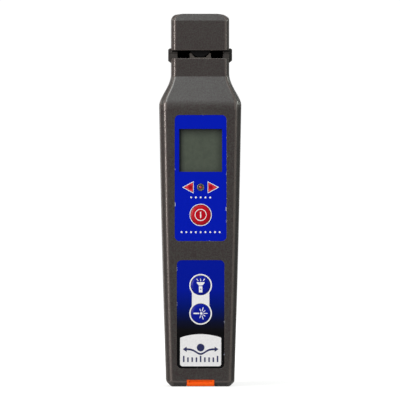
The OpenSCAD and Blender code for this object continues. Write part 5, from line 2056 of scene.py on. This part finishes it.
@dataclass
class Studio:
    """Floor, backdrop, soft lights and the camera of the photograph.

    Args:
        distance: the camera's distance from the instrument's middle, in metres.
        frame_height: height that the square picture shows, in millimetres.
        centre_height: height at the picture's middle, in millimetres.
        turn: how far the camera stands round to the left, in degrees.
        sensor: width of the camera's sensor, in millimetres.
        floor_glow: how bright the camera sees the floor at the foot, from 0 to 1.
        room_light: strength of the dim light from all round.
        floor_z: height of the floor, in millimetres.
        floor_half: how far the floor reaches, in millimetres.
        sweep: radius of the sweep at its back, in millimetres.
        backdrop: height of the backdrop's top, in millimetres.
        lights: the soft boxes.
    """

    distance: float = 2.5
    frame_height: float = 219.0
    centre_height: float = 101.6
    turn: float = 1.3
    sensor: float = 36.0
    floor_glow: float = 0.77
    room_light: float = 0.14
    floor_z: float = -0.05
    floor_half: float = 4000
    sweep: float = 500
    backdrop: float = 3000
    lights: tuple[SoftLight, ...] = (
        SoftLight("overhead_box", (-0.2, -0.52, 0.89), (0.62, 0.41), 4.9, "#F1F9F8"),
        SoftLight("left_strip", (-0.95, -0.95, 0.53), (0.12, 0.9), 15.5, "#FFF3EE"),
        SoftLight("right_strip", (1.05, -0.85, 0.6), (0.12, 0.8), 2.7, "#EEF6F0"),
        SoftLight("left_top_box", (-1.0, 0.2, 0.73), (0.5, 0.4), 1.5, "#F4FFF6"),
        SoftLight("right_top_box", (1.05, 0.0, 0.7), (0.25, 0.4), 3.4, "#F6FFF6"),
        SoftLight("rear_box", (0.3, 1.1, 0.9), (1.0, 0.8), 9.0))

    def build(self) -> None:
        """Makes the whole stage."""
        self.floor()
        self.world()
        aim = Vector((0, 0, self.centre_height * MM))
        for light in self.lights:
            light.build(aim)
        self.camera(aim)
        bpy.context.scene.view_settings.view_transform = "Standard"

    def paper(self) -> bpy.types.Material:
        """Pale paper that the camera sees as the photograph's white ground."""
        material = bpy.data.materials.new("pale_paper")
        material.use_nodes = True
        tree = material.node_tree
        tree.nodes.clear()
        place = add_node(tree, "TexCoord").outputs["Object"]
        noise = add_node(tree, "TexNoise", {}, {"Vector": place, "Scale": 400.0})
        rough = add_node(tree, "MapRange", {}, {
            "Value": noise.outputs["Fac"], "To Min": 0.85, "To Max": 0.95})
        paper = add_node(tree, "BsdfPrincipled", {}, {
            "Base Color": linear("#8E8E8C"), "Roughness": rough.outputs["Result"],
            "Specular IOR Level": 0.0})
        away = add_node(tree, "VectorMath", {"operation": "LENGTH"}, {0: place})
        lift = add_node(tree, "MapRange", {}, {
            "Value": away.outputs["Value"], "From Min": 0.04, "From Max": 0.25,
            "To Min": self.floor_glow, "To Max": 1.0})
        strength = add_node(tree, "Math", {"operation": "MULTIPLY"}, {
            0: lift.outputs["Result"], 1: self.sees_white(tree)})
        white = add_node(tree, "Emission", {}, {
            "Color": (1, 1, 1, 1), "Strength": strength.outputs["Value"]})
        both = add_node(tree, "AddShader", {}, {
            0: paper.outputs["BSDF"], 1: white.outputs["Emission"]})
        add_node(tree, "OutputMaterial", {}, {"Surface": both.outputs["Shader"]})
        return material

    def sees_white(self, tree: Tree) -> Socket:
        """Which rays see the white ground: the camera's, and near and behind the object also
        those off metal and through glass.

        Args:
            tree: the paper's nodes.

        Returns:
            The output that gives 1 for them and 0 for the rest.
        """
        path = add_node(tree, "LightPath")
        place = add_node(tree, "TexCoord").outputs["Object"]
        far = add_node(tree, "MapRange", {}, {
            "Value": add_node(tree, "SeparateXYZ", {}, {"Vector": place}).outputs["Y"],
            "From Min": 0.3, "From Max": 1.5})
        near = add_node(tree, "MapRange", {}, {
            "Value": add_node(tree, "VectorMath", {"operation": "LENGTH"}, {
                0: place}).outputs["Value"],
            "From Min": 0.025, "From Max": 0.06, "To Min": 0.4, "To Max": 0.0})
        behind = add_node(tree, "Math", {"operation": "MAXIMUM"}, {
            0: far.outputs["Result"], 1: near.outputs["Result"]})
        mirrored = add_node(tree, "Math", {"operation": "MAXIMUM"}, {
            0: path.outputs["Is Glossy Ray"], 1: path.outputs["Is Transmission Ray"]})
        shown = add_node(tree, "Math", {"operation": "MULTIPLY"}, {
            0: mirrored.outputs["Value"], 1: behind.outputs["Value"]})
        return add_node(tree, "Math", {"operation": "MAXIMUM"}, {
            0: path.outputs["Is Camera Ray"], 1: shown.outputs["Value"]}).outputs["Value"]

    def floor(self) -> None:
        """A pale floor under the foot, which sweeps up to a backdrop far behind."""
        low, half, r = self.floor_z, self.floor_half, self.sweep
        side = [(-half, low), (half, low)]
        side += [(half + r * math.sin(a), low + r * (1 - math.cos(a))) for a in FINE_QUARTER]
        side.append((half + r, self.backdrop))
        points = [(x, y, z) for y, z in side for x in (-half, half)]
        made = mesh_object("floor", points, [(2 * i, 2 * i + 1, 2 * i + 3, 2 * i + 2)
                                             for i in range(len(side) - 1)])
        made.data.materials.append(self.paper())

    def world(self) -> None:
        """Dim room light, seen as white behind the object."""
        world = bpy.data.worlds.new("room")
        bpy.context.scene.world = world
        world.use_nodes = True
        tree = world.node_tree
        tree.nodes.clear()
        dim = add_node(tree, "Background", {}, {
            "Color": linear("#F2F4F6"), "Strength": self.room_light})
        white = add_node(tree, "Background", {}, {"Color": (1, 1, 1, 1), "Strength": 1.0})
        seen = add_node(tree, "LightPath").outputs["Is Camera Ray"]
        mixed = add_node(tree, "MixShader", {}, {"Fac": seen})
        tree.links.new(dim.outputs["Background"], mixed.inputs[1])
        tree.links.new(white.outputs["Background"], mixed.inputs[2])
        add_node(tree, "OutputWorld", {}, {"Surface": mixed.outputs["Shader"]})

    def camera(self, aim: Vector) -> None:
        """The camera: almost straight on, far away with a long lens, as the photograph shows.

        Args:
            aim: the object's middle, in metres.
        """
        data = bpy.data.cameras.new("camera")
        data.sensor_width = self.sensor
        data.lens = self.sensor * self.distance / (self.frame_height * MM)
        data.clip_end = 50
        made = bpy.data.objects.new("camera", data)
        turn = math.radians(self.turn)
        made.location = (-self.distance * math.sin(turn), -self.distance * math.cos(turn), aim.z)
        made.rotation_euler = (math.pi / 2, 0, -turn)
        bpy.context.scene.collection.objects.link(made)
        bpy.context.scene.camera = made


def main() -> None:
    """Builds the stage and dresses the instrument."""
    logging.basicConfig(level=logging.INFO, format="%(name)s: %(message)s", stream=sys.stdout)
    Studio().build()
    for assembly in (KeptNodes(), Shells(), Head(), Lights(), *KEYS, Prints(), Door(), Slide(),
                     Flap(), Screws()):
        assembly.build()


if __name__ == "__main__":
    main()
